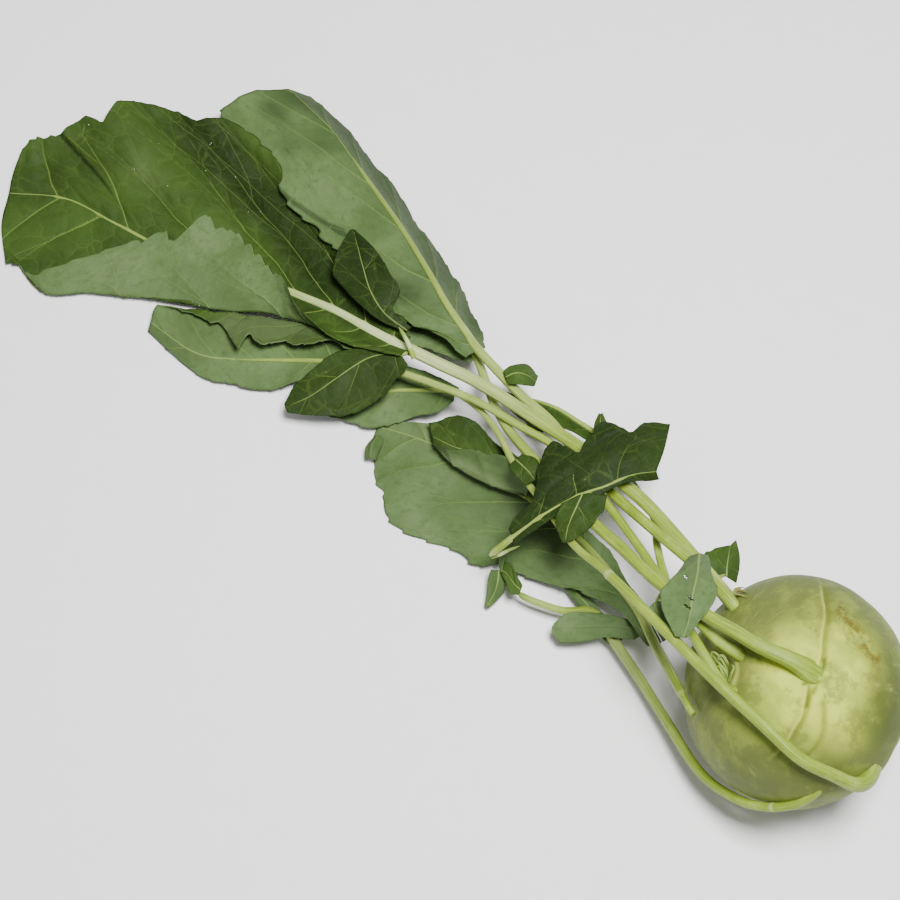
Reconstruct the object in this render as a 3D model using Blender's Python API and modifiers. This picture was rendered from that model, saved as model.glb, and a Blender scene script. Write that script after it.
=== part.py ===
"""A kohlrabi with its whole top of leaves, lying on its side as picked. Metres, +Z up.

The origin is the middle of the small flat spot that the bulb rests on. The leaves trail along +X,
and two of the stalks wrap round the bulb on its +Y side. Sizes and routes below are in millimetres.
"""

import math

import bmesh
import bpy
from mathutils import Vector
from mathutils.bvhtree import BVHTree

MM = 0.001
GAP = 0.3
BLADE_THICKNESS = 0.8

BULB_WIDTH = 86.0
BULB_HEIGHT = 78.0
BULB_CENTRE = Vector((0.0, 0.0, 40.6))
BULB_AXIS = Vector((0.65, 0.43, 0.63)).normalized()
SCAR_LATITUDES = (0.56, 0.22, -0.16)
SCAR_HEIGHT = 0.8
SCAR_SPREAD = 0.05
SCAR_SWAY = 0.06
CROWN_DIMPLE = 1.5
DIMPLE_SPREAD = 0.03
CUT_CLEARANCE = 0.4
ROOT_RADIUS = 6.5
ROOT_LENGTH = 12.0
BUD_DIRECTION = Vector((0.62, 0.33, 0.71)).normalized()
BUD_RADIUS = 2.3
SHOOT_RADIUS = 0.8
SHOOT_TIPS = ((35, 10.5, 70.2), (30, 12, 75), (26, 13.5, 76), (31, 14, 73.5))

RINGS_PER_SPAN = 2
RIB_STOP = 0.9
SLOT_END = 0.75
BLADE_CELL = 8.5
LEAFLET_CELL = 5.1
SECTION_STEPS = 12
LEAST_SLANT = 0.4
SCALLOP = 1.6
SCALLOP_PITCH = 27.0
RUFFLE = 1.0
RUFFLE_PITCH = 38.0
LEFT_PHASE = 0.6
RIGHT_PHASE = 2.9
SLOT_MARGIN = 0.2
REACH = 5.0
CLEAR = 1.5
LOWEST = 0.5
FOLLOW = 0.8
AROUND = ((0, 0), (3, 0), (-3, 0), (0, 3), (0, -3), (2, 2), (2, -2), (-2, 2), (-2, -2))
SMOOTH_ANGLE = math.radians(50)

BULB_GREEN = (0.50, 0.58, 0.18)
STALK_GREEN = (0.52, 0.64, 0.22)
MIDRIB_PALE = (0.62, 0.70, 0.38)
UPPER_GREEN = (0.06, 0.12, 0.03)
UNDER_GREEN = (0.19, 0.28, 0.13)
ROOT_BROWN = (0.38, 0.33, 0.20)

# Each leaf has its stalk's route, from inside the bulb to the blade's tip, and the radii of the
# stalk at its foot, where the blade starts and at the tip. The blade's two sides are long curves,
# from the midrib outwards, with one point for each point of the route from blade_from on.
LEAVES = {
    "leaf_7": {
        "route": [
            (-23, 28, 60), (-23, 34, 59), (-19, 40, 49), (-12, 44, 39), (-1, 44, 29), (15, 40, 19),
            (36, 28, 13), (52, 19, 10), (68, 11, 9), (79, 5, 7), (91, 1, 6), (103, -2, 5),
            (118, -4, 3), (133, -5, 2),
        ],
        "blade_from": 8,
        "radii": (2.4, 2.0, 0.6),
        "left": [
            [(70, 13, 8), (77, 16, 6), (91, 16, 3), (100, 8, 2), (111, 6, 2), (130, 0, 1)],
        ],
        "right": [
            [(66, 8, 9), (63, 0, 10), (81, -8, 7), (98, -12, 5), (115, -14, 4), (134, -10, 3)],
        ],
        "colour": UNDER_GREEN,
    },
    "leaf_6": {
        "route": [
            (23, 31, 50), (29, 29, 50), (39, 21, 42), (53, 9, 28), (65, 0, 24), (76, -6, 20),
            (89, -12, 17), (103, -17, 14), (118, -20, 12), (137, -22, 10), (160, -23, 8),
            (181, -21, 5), (197, -18, 2),
        ],
        "blade_from": 3,
        "radii": (2.4, 2.0, 0.6),
        "left": [
            [
                (56, 10, 26), (71, 2, 17), (86, 1, 10), (100, 3, 7), (122, 7, 5), (131, 10, 3),
                (152, 13, 2), (174, 12, 1), (185, 1, 1), (196, -11, 1),
            ],
        ],
        "right": [
            [
                (52, 6, 27), (67, -5, 22), (76, -10, 19), (90, -19, 16), (103, -22, 14),
                (117, -26, 13), (138, -33, 11), (164, -34, 9), (182, -27, 7), (195, -21, 5),
            ],
        ],
        "colour": UNDER_GREEN,
    },
    "leaf_8": {
        "route": [
            (17, 19, 66), (21, 21, 69), (27, 18, 69), (37, 12, 68), (45, 6, 63), (54, -2, 55),
            (63, -11, 48), (72, -22, 42), (78, -31, 39), (90, -39, 36), (104, -47, 31),
            (115, -53, 28), (126, -55, 25), (136, -56, 23), (147, -55, 20), (157, -54, 17),
        ],
        "blade_from": 11,
        "radii": (2.0, 1.2, 0.5),
        "left": [
            [(118, -50, 25), (129, -51, 20), (137, -48, 14), (147, -49, 12), (158, -51, 13)],
        ],
        "right": [],
        "colour": UPPER_GREEN,
    },
    "leaf_5": {
        "route": [
            (-29, 7, 58), (-36, 10, 62), (-40, 13, 59), (-40, 19, 57), (-34, 24, 61),
            (-27, 27, 67), (-13, 30, 74), (5, 27, 77), (27, 22, 77), (53, 13, 69), (80, 2, 55),
            (98, -4, 45), (117, -14, 38), (136, -24, 31), (149, -33, 27), (161, -39, 23),
            (175, -42, 17), (185, -39, 13), (196, -34, 9), (206, -27, 7), (214, -20, 6),
            (221, -14, 5),
        ],
        "blade_from": 16,
        "radii": (2.7, 1.4, 0.5),
        "left": [
            [(174, -39, 16), (179, -32, 10), (190, -22, 6), (200, -15, 4), (208, -12, 4),
             (219, -10, 4)],
        ],
        "right": [
            [(175, -45, 17), (189, -47, 11), (203, -42, 9), (214, -33, 8), (221, -24, 6),
             (224, -18, 5)],
        ],
        "colour": UNDER_GREEN,
    },
    "leaf_4": {
        "route": [
            (-11, 2, 76), (-2, 3, 84), (7, 4, 85), (19, 5, 84), (29, 4, 81), (41, 3, 77),
            (61, -1, 68), (82, -9, 57), (96, -14, 50), (112, -20, 43), (126, -27, 36),
            (139, -33, 30), (149, -38, 26), (160, -46, 22), (176, -60, 17), (188, -66, 13),
            (201, -72, 11), (216, -80, 9), (230, -87, 8), (247, -97, 6),
        ],
        "blade_from": 14,
        "radii": (2.8, 1.7, 0.5),
        "left": [
            [(177, -57, 17), (194, -54, 13), (208, -53, 11), (223, -62, 8), (236, -76, 7),
             (247, -91, 5)],
        ],
        "right": [
            [(175, -63, 15), (184, -72, 10), (199, -80, 7), (213, -87, 6), (230, -94, 5),
             (246, -101, 5)],
        ],
        "colour": UNDER_GREEN,
    },
    "leaf_3": {
        "route": [
            (17, 8, 66), (24, 9, 71), (31, 9, 72), (40, 6, 70), (51, 1, 66), (62, -5, 60),
            (79, -16, 50), (97, -26, 42), (112, -32, 38), (127, -38, 34), (143, -39, 31),
            (162, -40, 28), (180, -39, 24), (199, -37, 19), (215, -33, 14), (230, -27, 11),
            (245, -19, 9), (261, -10, 8), (277, -4, 7), (301, -6, 5),
        ],
        "blade_from": 13,
        "radii": (1.9, 1.5, 0.5),
        "left": [
            [(199, -34, 18), (215, -27, 11), (228, -20, 8), (241, -9, 5), (257, -1, 3),
             (276, 2, 2), (301, -3, 2)],
        ],
        "right": [
            [(199, -40, 18), (217, -40, 14), (235, -40, 10), (252, -35, 8), (270, -28, 7),
             (284, -21, 6), (303, -11, 5)],
            [(198, -39, 21), (216, -37, 18), (232, -32, 17), (247, -23, 15), (262, -17, 13),
             (281, -18, 9), (303, -14, 6)],
        ],
        "colour": UNDER_GREEN,
    },
    "leaf_1": {
        "route": [
            (26, -16, 58), (38, -19, 55), (56, -24, 51), (82, -32, 46), (102, -37, 43),
            (118, -41, 39), (141, -44, 34), (166, -47, 28), (185, -47, 24), (199, -47, 21),
            (217, -47, 18), (236, -48, 14), (258, -46, 11), (278, -43, 9), (299, -40, 8),
            (317, -36, 7), (339, -35, 6), (364, -34, 4), (387, -24, 2),
        ],
        "blade_from": 9,
        "radii": (2.6, 2.5, 0.6),
        "left": [
            [
                (200, -43, 21), (218, -40, 15), (236, -38, 10), (258, -35, 7), (276, -27, 6),
                (294, -20, 5), (311, -13, 4), (331, -4, 3), (350, 5, 2), (381, -10, 1),
            ],
            [
                (200, -41, 22), (221, -35, 20), (243, -37, 20), (261, -45, 18), (279, -52, 17),
                (297, -54, 16), (313, -45, 14), (327, -26, 11), (351, -2, 6), (370, 2, 2),
            ],
        ],
        "right": [
            [
                (203, -52, 21), (219, -58, 17), (242, -64, 12), (269, -70, 8), (295, -74, 6),
                (317, -70, 6), (336, -65, 7), (356, -57, 7), (378, -46, 4), (391, -34, 3),
            ],
            [
                (207, -57, 21), (221, -67, 20), (248, -79, 17), (279, -90, 13), (308, -101, 11),
                (332, -97, 10), (354, -91, 9), (373, -79, 9), (386, -55, 7), (393, -44, 5),
            ],
        ],
        "colour": UPPER_GREEN,
        "rib_colour": MIDRIB_PALE,
    },
    "leaf_2": {
        "route": [
            (27, -10, 62), (36, -11, 61), (46, -15, 58), (58, -19, 55), (77, -24, 50),
            (96, -31, 40), (115, -39, 33), (134, -48, 28), (151, -52, 27), (175, -60, 25),
            (183, -64, 24), (197, -71, 23), (210, -79, 22), (233, -92, 20), (259, -105, 17),
            (283, -117, 14), (311, -126, 9),
        ],
        "blade_from": 9,
        "radii": (2.3, 1.9, 0.6),
        "left": [
            [
                (177, -57, 25), (188, -60, 24), (201, -62, 23), (217, -68, 22), (240, -82, 20),
                (267, -93, 17), (292, -106, 15), (324, -115, 11),
            ],
            [
                (178, -55, 24), (194, -58, 22), (209, -56, 20), (228, -63, 18), (249, -71, 15),
                (276, -78, 13), (302, -95, 11), (330, -101, 10),
            ],
        ],
        "right": [
            [
                (174, -64, 22), (180, -71, 16), (194, -83, 8), (208, -92, 5), (231, -104, 3),
                (256, -116, 2), (281, -126, 2), (304, -131, 3),
            ],
        ],
        "colour": UNDER_GREEN,
    },
    "broken_leaf": {
        "route": [
            (126, 11, 25), (121, 2, 33), (114, -9, 44), (106, -20, 51), (99, -28, 53),
            (93, -37, 53), (86, -44, 51),
        ],
        "blade_from": 1,
        "radii": (1.7, 1.6, 0.5),
        "left": [
            [(119, 4, 32), (102, -4, 48), (97, -17, 54), (96, -26, 52), (90, -36, 50),
             (84, -43, 48)],
        ],
        "right": [
            [(124, 0, 34), (119, -11, 45), (117, -25, 49), (108, -33, 52), (101, -45, 52),
             (88, -54, 49)],
            [(126, -4, 34), (123, -15, 44), (127, -32, 43), (116, -40, 47), (109, -54, 45),
             (92, -67, 42)],
        ],
        "colour": UPPER_GREEN,
        "loose": True,
    },
}

# The lobes and leaflets are small sheets: a middle line and the curves of the two sides.
LEAFLETS = {
    "leaf_7_leaflet": {
        "middle": [(122, 10, 9), (120, 14, 9), (119, 18, 7), (119, 24, 4)],
        "left": [[(125, 11, 8), (124, 14, 7), (122, 19, 5), (120, 24, 4)]],
        "right": [[(119, 9, 8), (117, 12, 8), (116, 16, 6), (118, 24, 4)]],
        "colour": UNDER_GREEN,
        "after": "leaf_6",
    },
    "leaf_6_leaflet": {
        "middle": [(134, -26, 24), (144, -26, 20), (154, -25, 17), (163, -23, 15), (174, -23, 12)],
        "left": [
            [(128, -19, 18), (138, -17, 15), (151, -16, 13), (162, -17, 12), (171, -20, 11)],
            [(127, -21, 24), (140, -21, 23), (152, -19, 20), (161, -18, 19), (171, -18, 16)],
        ],
        "right": [
            [(137, -28, 24), (150, -32, 20), (160, -35, 17), (170, -35, 14), (178, -27, 12)],
        ],
        "colour": UPPER_GREEN,
        "after": "leaf_6",
    },
    "leaf_5_leaflet": {
        "middle": [(136, -24, 38), (130, -22, 40), (125, -20, 39)],
        "left": [[(137, -21, 36), (132, -18, 37), (127, -17, 36)]],
        "right": [[(135, -27, 37), (129, -28, 38), (124, -24, 38)]],
        "colour": UPPER_GREEN,
        "after": "leaf_5",
    },
    "leaf_1_near_lobe": {
        "middle": [
            (200, -42, 24), (207, -39, 23), (213, -33, 21), (219, -21, 18), (224, -11, 15),
            (231, -2, 12),
        ],
        "left": [
            [(196, -40, 24), (196, -35, 23), (198, -27, 18), (207, -14, 13), (217, -6, 11),
             (229, -1, 11)],
        ],
        "right": [
            [(204, -42, 23), (214, -38, 22), (223, -32, 18), (229, -24, 15), (232, -13, 13),
             (232, -3, 12)],
        ],
        "colour": UPPER_GREEN,
        "after": "leaf_3",
    },
    "leaf_1_far_lobe": {
        "middle": [
            (204, -52, 25), (215, -53, 27), (225, -58, 27), (235, -67, 25), (242, -74, 23),
            (248, -80, 20),
        ],
        "left": [
            [(206, -51, 25), (218, -50, 25), (233, -54, 23), (244, -60, 22), (248, -68, 21),
             (249, -79, 20)],
        ],
        "right": [
            [(203, -54, 25), (213, -56, 27), (216, -64, 27), (223, -70, 27), (234, -75, 26),
             (247, -80, 21)],
        ],
        "colour": UPPER_GREEN,
        "after": "leaf_2",
    },
    "leaf_8_leaflet": {
        "middle": [(159, -54, 29), (156, -57, 32), (152, -59, 31), (148, -60, 27)],
        "left": [[(156, -52, 30), (152, -54, 31), (149, -56, 29), (148, -58, 26)]],
        "right": [[(161, -56, 29), (159, -60, 29), (155, -64, 28), (149, -63, 25)]],
        "colour": UPPER_GREEN,
        "after": "leaf_2",
    },
    "leaf_3_leaflet": {
        "middle": [(113, -51, 36), (116, -55, 36), (118, -59, 34)],
        "left": [[(116, -50, 35), (118, -54, 34), (119, -59, 34)]],
        "right": [[(111, -53, 35), (114, -57, 34), (118, -60, 34)]],
        "colour": UPPER_GREEN,
        "after": "leaf_2",
    },
    "leaf_2_leaflet": {
        "middle": [(43, -24, 44), (45, -28, 45), (48, -36, 43)],
        "left": [[(47, -24, 43), (51, -29, 43), (51, -34, 42)]],
        "right": [[(40, -26, 42), (42, -33, 42), (46, -37, 42)]],
        "colour": UPPER_GREEN,
        "after": "leaf_2",
    },
    "leaf_4_under_leaflet": {
        "middle": [(60, 4, 60), (55, 8, 60), (49, 13, 60)],
        "left": [[(61, 7, 59), (56, 11, 59), (50, 15, 59)]],
        "right": [[(57, 2, 60), (51, 6, 60), (48, 12, 60)]],
        "colour": UNDER_GREEN,
        "after": "leaf_2",
    },
    "leaf_4_leaflet": {
        "middle": [(55, -20, 64), (51, -9, 75), (48, 1, 80), (45, 8, 79), (44, 11, 77)],
        "left": [[(58, -18, 62), (58, -7, 70), (60, 3, 74), (52, 9, 76), (46, 12, 76)]],
        "right": [[(52, -22, 62), (47, -14, 72), (42, -6, 78), (41, 4, 81), (42, 10, 78)]],
        "colour": UNDER_GREEN,
        "after": "leaf_2",
    },
}

# The small branch under the pile, which carries leaf 7's leaflet.
BRANCH_ROUTE = [(84, 4, 12), (88, 8, 10), (93, 11, 9), (101, 13, 9), (108, 14, 9), (113, 13, 8)]
BRANCH_RADII = (1.5, 1.5, 1.2)


def clear_scene():
    """Removes whatever the scene holds."""
    for item in list(bpy.data.objects):
        bpy.data.objects.remove(item, do_unlink=True)


def new_collection(name):
    """Makes a collection in the scene."""
    collection = bpy.data.collections.new(name)
    bpy.context.scene.collection.children.link(collection)
    return collection


def finish(name, colour, roughness=0.5):
    """Makes a plain coloured material."""
    material = bpy.data.materials.new(name)
    material.use_nodes = True
    surface = material.node_tree.nodes["Principled BSDF"]
    surface.inputs["Base Color"].default_value = (*colour, 1.0)
    surface.inputs["Roughness"].default_value = roughness
    surface.inputs["Metallic"].default_value = 0.0
    return material


def add_object(name, mesh, material, collection):
    """Puts a mesh in the scene as a named part with its material."""
    part = bpy.data.objects.new(name, mesh)
    part.data.materials.clear()
    part.data.materials.append(material)
    collection.objects.link(part)
    return part


def spline(points, place):
    """A point on the smooth curve through the points; place is counted in points."""
    index = min(int(place), len(points) - 2)
    part = place - index
    start, end = points[index], points[index + 1]
    before = points[index - 1] if index > 0 else 2 * start - end
    after = points[index + 2] if index + 2 < len(points) else 2 * end - start
    return 0.5 * (
        2 * start
        + (end - before) * part
        + (2 * before - 5 * start + 4 * end - after) * part**2
        + (3 * start - before - 3 * end + after) * part**3
    )


def vectors(points):
    """Turns a list of number triples into vectors."""
    return [Vector(point) for point in points]


def bulb_surface_point(direction):
    """The bulb's skin along a direction given with the crown as +Z."""
    latitude = direction.z
    skin = Vector((direction.x * BULB_WIDTH, direction.y * BULB_WIDTH, latitude * BULB_HEIGHT)) / 2
    around = math.atan2(direction.y, direction.x)
    for number, scar in enumerate(SCAR_LATITUDES):
        off_scar = latitude - scar - SCAR_SWAY * math.sin(around + math.tau * number / 3)
        skin += direction * SCAR_HEIGHT * math.exp(-((off_scar / SCAR_SPREAD) ** 2))
    skin.z -= CROWN_DIMPLE * math.exp(-(((1 - latitude) / DIMPLE_SPREAD) ** 2))
    return skin


def bulb_mesh(name, extra=0.0):
    """The whole bulb, its skin moved out by extra, turned so that its crown leans over."""
    form = bmesh.new()
    bmesh.ops.create_uvsphere(form, u_segments=32, v_segments=18, radius=1.0)
    turn = Vector((0, 0, 1)).rotation_difference(BULB_AXIS)
    for vertex in form.verts:
        direction = vertex.co.normalized()
        skin = bulb_surface_point(direction) + direction * extra
        vertex.co = (BULB_CENTRE + turn @ skin) * MM
    mesh = bpy.data.meshes.new(name)
    form.to_mesh(mesh)
    form.free()
    return mesh


def make_bulb(material, collection):
    """The swollen stem, cut flat where it rests on the table."""
    mesh = bulb_mesh("bulb")
    form = bmesh.new()
    form.from_mesh(mesh)
    whole = form.verts[:] + form.edges[:] + form.faces[:]
    cut = bmesh.ops.bisect_plane(
        form, geom=whole, plane_co=(0, 0, 0), plane_no=(0, 0, 1), clear_inner=True
    )
    rim = [item for item in cut["geom_cut"] if isinstance(item, bmesh.types.BMEdge)]
    bmesh.ops.contextual_create(form, geom=rim)
    bmesh.ops.recalc_face_normals(form, faces=form.faces)
    form.to_mesh(mesh)
    form.free()
    part = add_object("bulb", mesh, material, collection)
    mesh.shade_smooth()
    mesh.set_sharp_from_angle(angle=SMOOTH_ANGLE)
    return part


def make_bulb_cutter(collection):
    """A slightly larger bulb, which shapes the feet that sit on the real one."""
    cutter = bpy.data.objects.new("bulb_cutter", bulb_mesh("bulb_cutter", CUT_CLEARANCE))
    cutter.hide_render = True
    cutter.display_type = "WIRE"
    collection.objects.link(cutter)
    return cutter


def fit_to_bulb(part, cutter):
    """Cuts a part's foot to the bulb's skin."""
    cut = part.modifiers.new("fit to bulb", "BOOLEAN")
    cut.operation = "DIFFERENCE"
    cut.object = cutter


def tube_mesh(name, points, radii):
    """A closed round tube through the points, with a radius for each."""
    curve = bpy.data.curves.new(name, "CURVE")
    curve.dimensions = "3D"
    curve.bevel_depth = MM
    curve.bevel_resolution = 2
    curve.use_fill_caps = True
    line = curve.splines.new("POLY")
    line.points.add(len(points) - 1)
    for place, point, radius in zip(line.points, points, radii):
        place.co = (*(point * MM), 1.0)
        place.radius = radius
    holder = bpy.data.objects.new(name, curve)
    bpy.context.scene.collection.objects.link(holder)
    bpy.context.view_layer.update()
    evaluated = holder.evaluated_get(bpy.context.evaluated_depsgraph_get())
    mesh = bpy.data.meshes.new_from_object(evaluated)
    bpy.data.objects.remove(holder)
    bpy.data.curves.remove(curve)
    form = bmesh.new()
    form.from_mesh(mesh)
    bmesh.ops.remove_doubles(form, verts=form.verts, dist=0.00001)
    form.to_mesh(mesh)
    form.free()
    mesh.shade_smooth()
    mesh.set_sharp_from_angle(angle=SMOOTH_ANGLE)
    return mesh


def stalk_radius(leaf, place):
    """The stalk's radius at a place on its route: even to the blade, then tapering to the tip."""
    foot, neck, tip = leaf["radii"]
    start, last = leaf["blade_from"], len(leaf["route"]) - 1
    if place < start:
        return foot + (neck - foot) * place / start
    return neck + (tip - neck) * ((place - start) / (last - start)) ** 0.8


def make_stalk(name, leaf, material, collection, cutter):
    """A leaf's stalk and midrib, one tapering stem from the bulb nearly to the blade's tip."""
    route = vectors(leaf["route"])
    end = len(route) - 1 - RIB_STOP
    steps = math.ceil(end * RINGS_PER_SPAN)
    places = [end * step / steps for step in range(steps + 1)]
    points = [spline(route, place) for place in places]
    radii = [stalk_radius(leaf, place) for place in places]
    part = add_object(name, tube_mesh(name, points, radii), material, collection)
    if cutter:
        fit_to_bulb(part, cutter)
    return part


def scallop(distance, phase):
    """How far the margin stands out or in, at a distance along the blade."""
    return SCALLOP * math.sin(math.tau * distance / SCALLOP_PITCH + phase)


def ruffle(distance, length, phase):
    """How far the margin waves up or down: least at the blade's two ends."""
    swell = math.sin(math.pi * distance / length)
    return RUFFLE * swell * math.sin(math.tau * distance / RUFFLE_PITCH + phase)


def across(middle, along, curves, place, inset, count, blade_length, phase):
    """Even points over one half of a blade, from beside the midrib out to the margin."""
    section = [middle] + [spline(curve, place) for curve in curves]
    fine = SECTION_STEPS * (len(section) - 1)
    line = [spline(section, (len(section) - 1) * step / fine) for step in range(fine + 1)]
    lengths = [0.0]
    for one, other in zip(line, line[1:]):
        lengths.append(lengths[-1] + (other - one).length)
    if along:
        slant = (line[1] - line[0]).normalized().cross(along).length
        inset /= max(slant, LEAST_SLANT)
    points = []
    distance = blade_length * place / (len(curves[0]) - 1)
    width = lengths[-1] + scallop(distance, phase) * min(1.0, lengths[-1] / SCALLOP_PITCH)
    for number in range(count + 1):
        share = number / count
        target = inset + (width - inset) * share
        index = max(i for i, length in enumerate(lengths[:-1]) if length <= target or i == 0)
        part = (target - lengths[index]) / (lengths[index + 1] - lengths[index])
        wave = Vector((0, 0, ruffle(distance, blade_length, phase) * share**3))
        points.append(line[index].lerp(line[index + 1], part) + wave)
    return points


def widest(middle, curves):
    """The greatest width of one half of a blade, measured along its section."""
    width = 0.0
    for place in range(len(middle)):
        section = [middle[place]] + [curve[place] for curve in curves]
        width = max(width, sum((b - a).length for a, b in zip(section, section[1:])))
    return width


def lift_clear(rows, below):
    """Raises a sheet's points clear of the table and of what lies below, with their neighbours."""
    lifts = []
    for row in rows:
        lifts.append([])
        for point in row:
            needed = max(0.0, LOWEST - point.z)
            for dx, dy in AROUND:
                top = point + Vector((dx, dy, REACH))
                for tree in below:
                    needed = max(needed, height_under(tree, top) + CLEAR - point.z)
            lifts[-1].append(needed)
    for _ in range(3):
        lifts = [
            [
                max(lifts[i][j], FOLLOW * mean_of_neighbours(lifts, i, j))
                for j in range(len(lifts[i]))
            ]
            for i in range(len(lifts))
        ]
    return [
        [point + Vector((0, 0, lift)) for point, lift in zip(row, row_lifts)]
        for row, row_lifts in zip(rows, lifts)
    ]


def mean_of_neighbours(values, i, j):
    """The mean of the values beside one in a grid."""
    near = [
        values[a][b]
        for a, b in ((i - 1, j), (i + 1, j), (i, j - 1), (i, j + 1))
        if 0 <= a < len(values) and 0 <= b < len(values[a])
    ]
    return sum(near) / len(near)


def height_under(tree, top):
    """The height of the first upward-facing surface below a point, or a great depth."""
    start = top.copy()
    for _ in range(4):
        place, normal, _, _ = tree.ray_cast(start * MM, Vector((0, 0, -1)))
        if place is None:
            return -1000.0
        if normal.z > 0:
            return place.z / MM
        start = place / MM - Vector((0, 0, 0.05))
    return -1000.0


def sheet_mesh(name, rows, gap_after, closed_from):
    """Quads over rows of points; the slot for the midrib is open up to the row closed_from."""
    columns = len(rows[0])
    faces = []
    for i in range(len(rows) - 1):
        for j in range(columns - 1):
            if j == gap_after and i < closed_from:
                continue
            corner = i * columns + j
            faces.append((corner, corner + 1, corner + columns + 1, corner + columns))
    mesh = bpy.data.meshes.new(name)
    mesh.from_pydata([point * MM for row in rows for point in row], [], faces)
    mesh.update()
    mesh.shade_smooth()
    return mesh


def add_sheet(name, rows, gap_after, closed_from, below, material, collection):
    """Lays a sheet over what is below it and gives it the blade's thickness."""
    laid = lift_clear(rows, below)
    mesh = sheet_mesh(name, laid, gap_after, closed_from)
    part = add_object(name, mesh, material, collection)
    split = part.modifiers.new("split alike on both faces", "TRIANGULATE")
    split.quad_method = "SHORTEST_DIAGONAL"
    thicken = part.modifiers.new("blade thickness", "SOLIDIFY")
    thicken.thickness = BLADE_THICKNESS * MM
    thicken.offset = 0.0
    return part


def make_blade(name, leaf, below, material, collection):
    """A leaf's blade: two halves along the midrib, joined past its end."""
    start = leaf["blade_from"]
    route = vectors(leaf["route"])
    middle = route[start:]
    left = [vectors(curve) for curve in leaf["left"]]
    right = [vectors(curve) for curve in leaf["right"]]
    last = len(middle) - 1
    length = sum((b - a).length for a, b in zip(middle, middle[1:]))
    cells = max(math.ceil(last / SLOT_END), round(length / BLADE_CELL))
    left_count = max(2, round(widest(middle, left) / BLADE_CELL))
    right_count = max(2, round(widest(middle, right) / BLADE_CELL)) if right else 0
    rows = []
    closed_from = cells - 1
    for step in range(cells + 1):
        place = last * step / cells
        if place > last - SLOT_END:
            closed_from = min(closed_from, step)
        rib = spline(route, start + place)
        along = (spline(route, start + place + 0.01) - spline(route, start + place - 0.01)).normalized()
        inset = stalk_radius(leaf, start + place) + GAP + SLOT_MARGIN
        row = across(rib, along, left, place, inset, left_count, length, LEFT_PHASE)[::-1]
        if right:
            row += across(rib, along, right, place, inset, right_count, length, RIGHT_PHASE)
        rows.append(row)
    return add_sheet(name, rows, left_count, closed_from, below, material, collection)


def make_leaflet(name, leaflet, below, material, collection):
    """A small sheet without a separate midrib."""
    middle = vectors(leaflet["middle"])
    left = [vectors(curve) for curve in leaflet["left"]]
    right = [vectors(curve) for curve in leaflet["right"]]
    last = len(middle) - 1
    length = sum((b - a).length for a, b in zip(middle, middle[1:]))
    cells = max(4, round(length / LEAFLET_CELL))
    left_count = max(2, round(widest(middle, left) / LEAFLET_CELL))
    right_count = max(2, round(widest(middle, right) / LEAFLET_CELL))
    rows = []
    for step in range(cells + 1):
        place = last * step / cells
        rib = spline(middle, place)
        row = across(rib, None, left, place, 0.0, left_count, length, LEFT_PHASE)[::-1]
        row += across(rib, None, right, place, 0.0, right_count, length, RIGHT_PHASE)[1:]
        rows.append(row)
    return add_sheet(name, rows, -1, 0, below, material, collection)


def solid_tree(part):
    """A search tree over a part's finished faces."""
    bpy.context.view_layer.update()
    evaluated = part.evaluated_get(bpy.context.evaluated_depsgraph_get())
    form = bmesh.new()
    form.from_mesh(evaluated.to_mesh())
    form.transform(part.matrix_world)
    tree = BVHTree.FromBMesh(form)
    form.free()
    evaluated.to_mesh_clear()
    return tree


def make_root_stub(material, collection, cutter):
    """The short cut root at the end away from the crown."""
    inner = BULB_CENTRE - BULB_AXIS * (BULB_HEIGHT / 2 - 4)
    outer = BULB_CENTRE - BULB_AXIS * (BULB_HEIGHT / 2 + ROOT_LENGTH)
    points = [inner.lerp(outer, step / 4) for step in range(5)]
    radii = [ROOT_RADIUS * (1.15 - 0.1 * step) for step in range(5)]
    part = add_object("root_stub", tube_mesh("root_stub", points, radii), material, collection)
    fit_to_bulb(part, cutter)


def make_crown_bud(material, collection, cutter):
    """The heart of the plant: young shoots on one bud, fused and fitted to the crown."""
    foot = BULB_CENTRE + BUD_DIRECTION * BULB_HEIGHT / 2
    pieces = bpy.data.collections.new("crown pieces")
    bpy.context.scene.collection.children.link(pieces)
    form = bmesh.new()
    bmesh.ops.create_icosphere(form, subdivisions=2, radius=BUD_RADIUS * MM)
    bmesh.ops.translate(form, verts=form.verts, vec=foot * MM)
    mesh = bpy.data.meshes.new("crown_bud")
    form.to_mesh(mesh)
    form.free()
    part = add_object("crown_bud", mesh, material, collection)
    for tip in vectors(SHOOT_TIPS):
        points = [foot.lerp(tip, step / 4) for step in range(5)]
        radii = [SHOOT_RADIUS * (1.2 - 0.15 * step) for step in range(5)]
        add_object("shoot", tube_mesh("shoot", points, radii), material, pieces)
    join = part.modifiers.new("join shoots", "BOOLEAN")
    join.operation = "UNION"
    join.operand_type = "COLLECTION"
    join.collection = pieces
    fit_to_bulb(part, cutter)
    bpy.context.view_layer.update()
    evaluated = part.evaluated_get(bpy.context.evaluated_depsgraph_get())
    whole = bpy.data.meshes.new_from_object(evaluated)
    part.modifiers.clear()
    part.data = whole
    for piece in list(pieces.objects):
        bpy.data.objects.remove(piece)
    bpy.data.collections.remove(pieces)


def make_leaflets_after(leaf_name, laid, stalk_trees, materials, collection):
    """Lays the lobes and leaflets that lie next above a leaf."""
    for name, leaflet in LEAFLETS.items():
        if leaflet["after"] == leaf_name:
            below = laid + stalk_trees
            part = make_leaflet(name, leaflet, below, materials[leaflet["colour"]], collection)
            laid.append(solid_tree(part))


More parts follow.
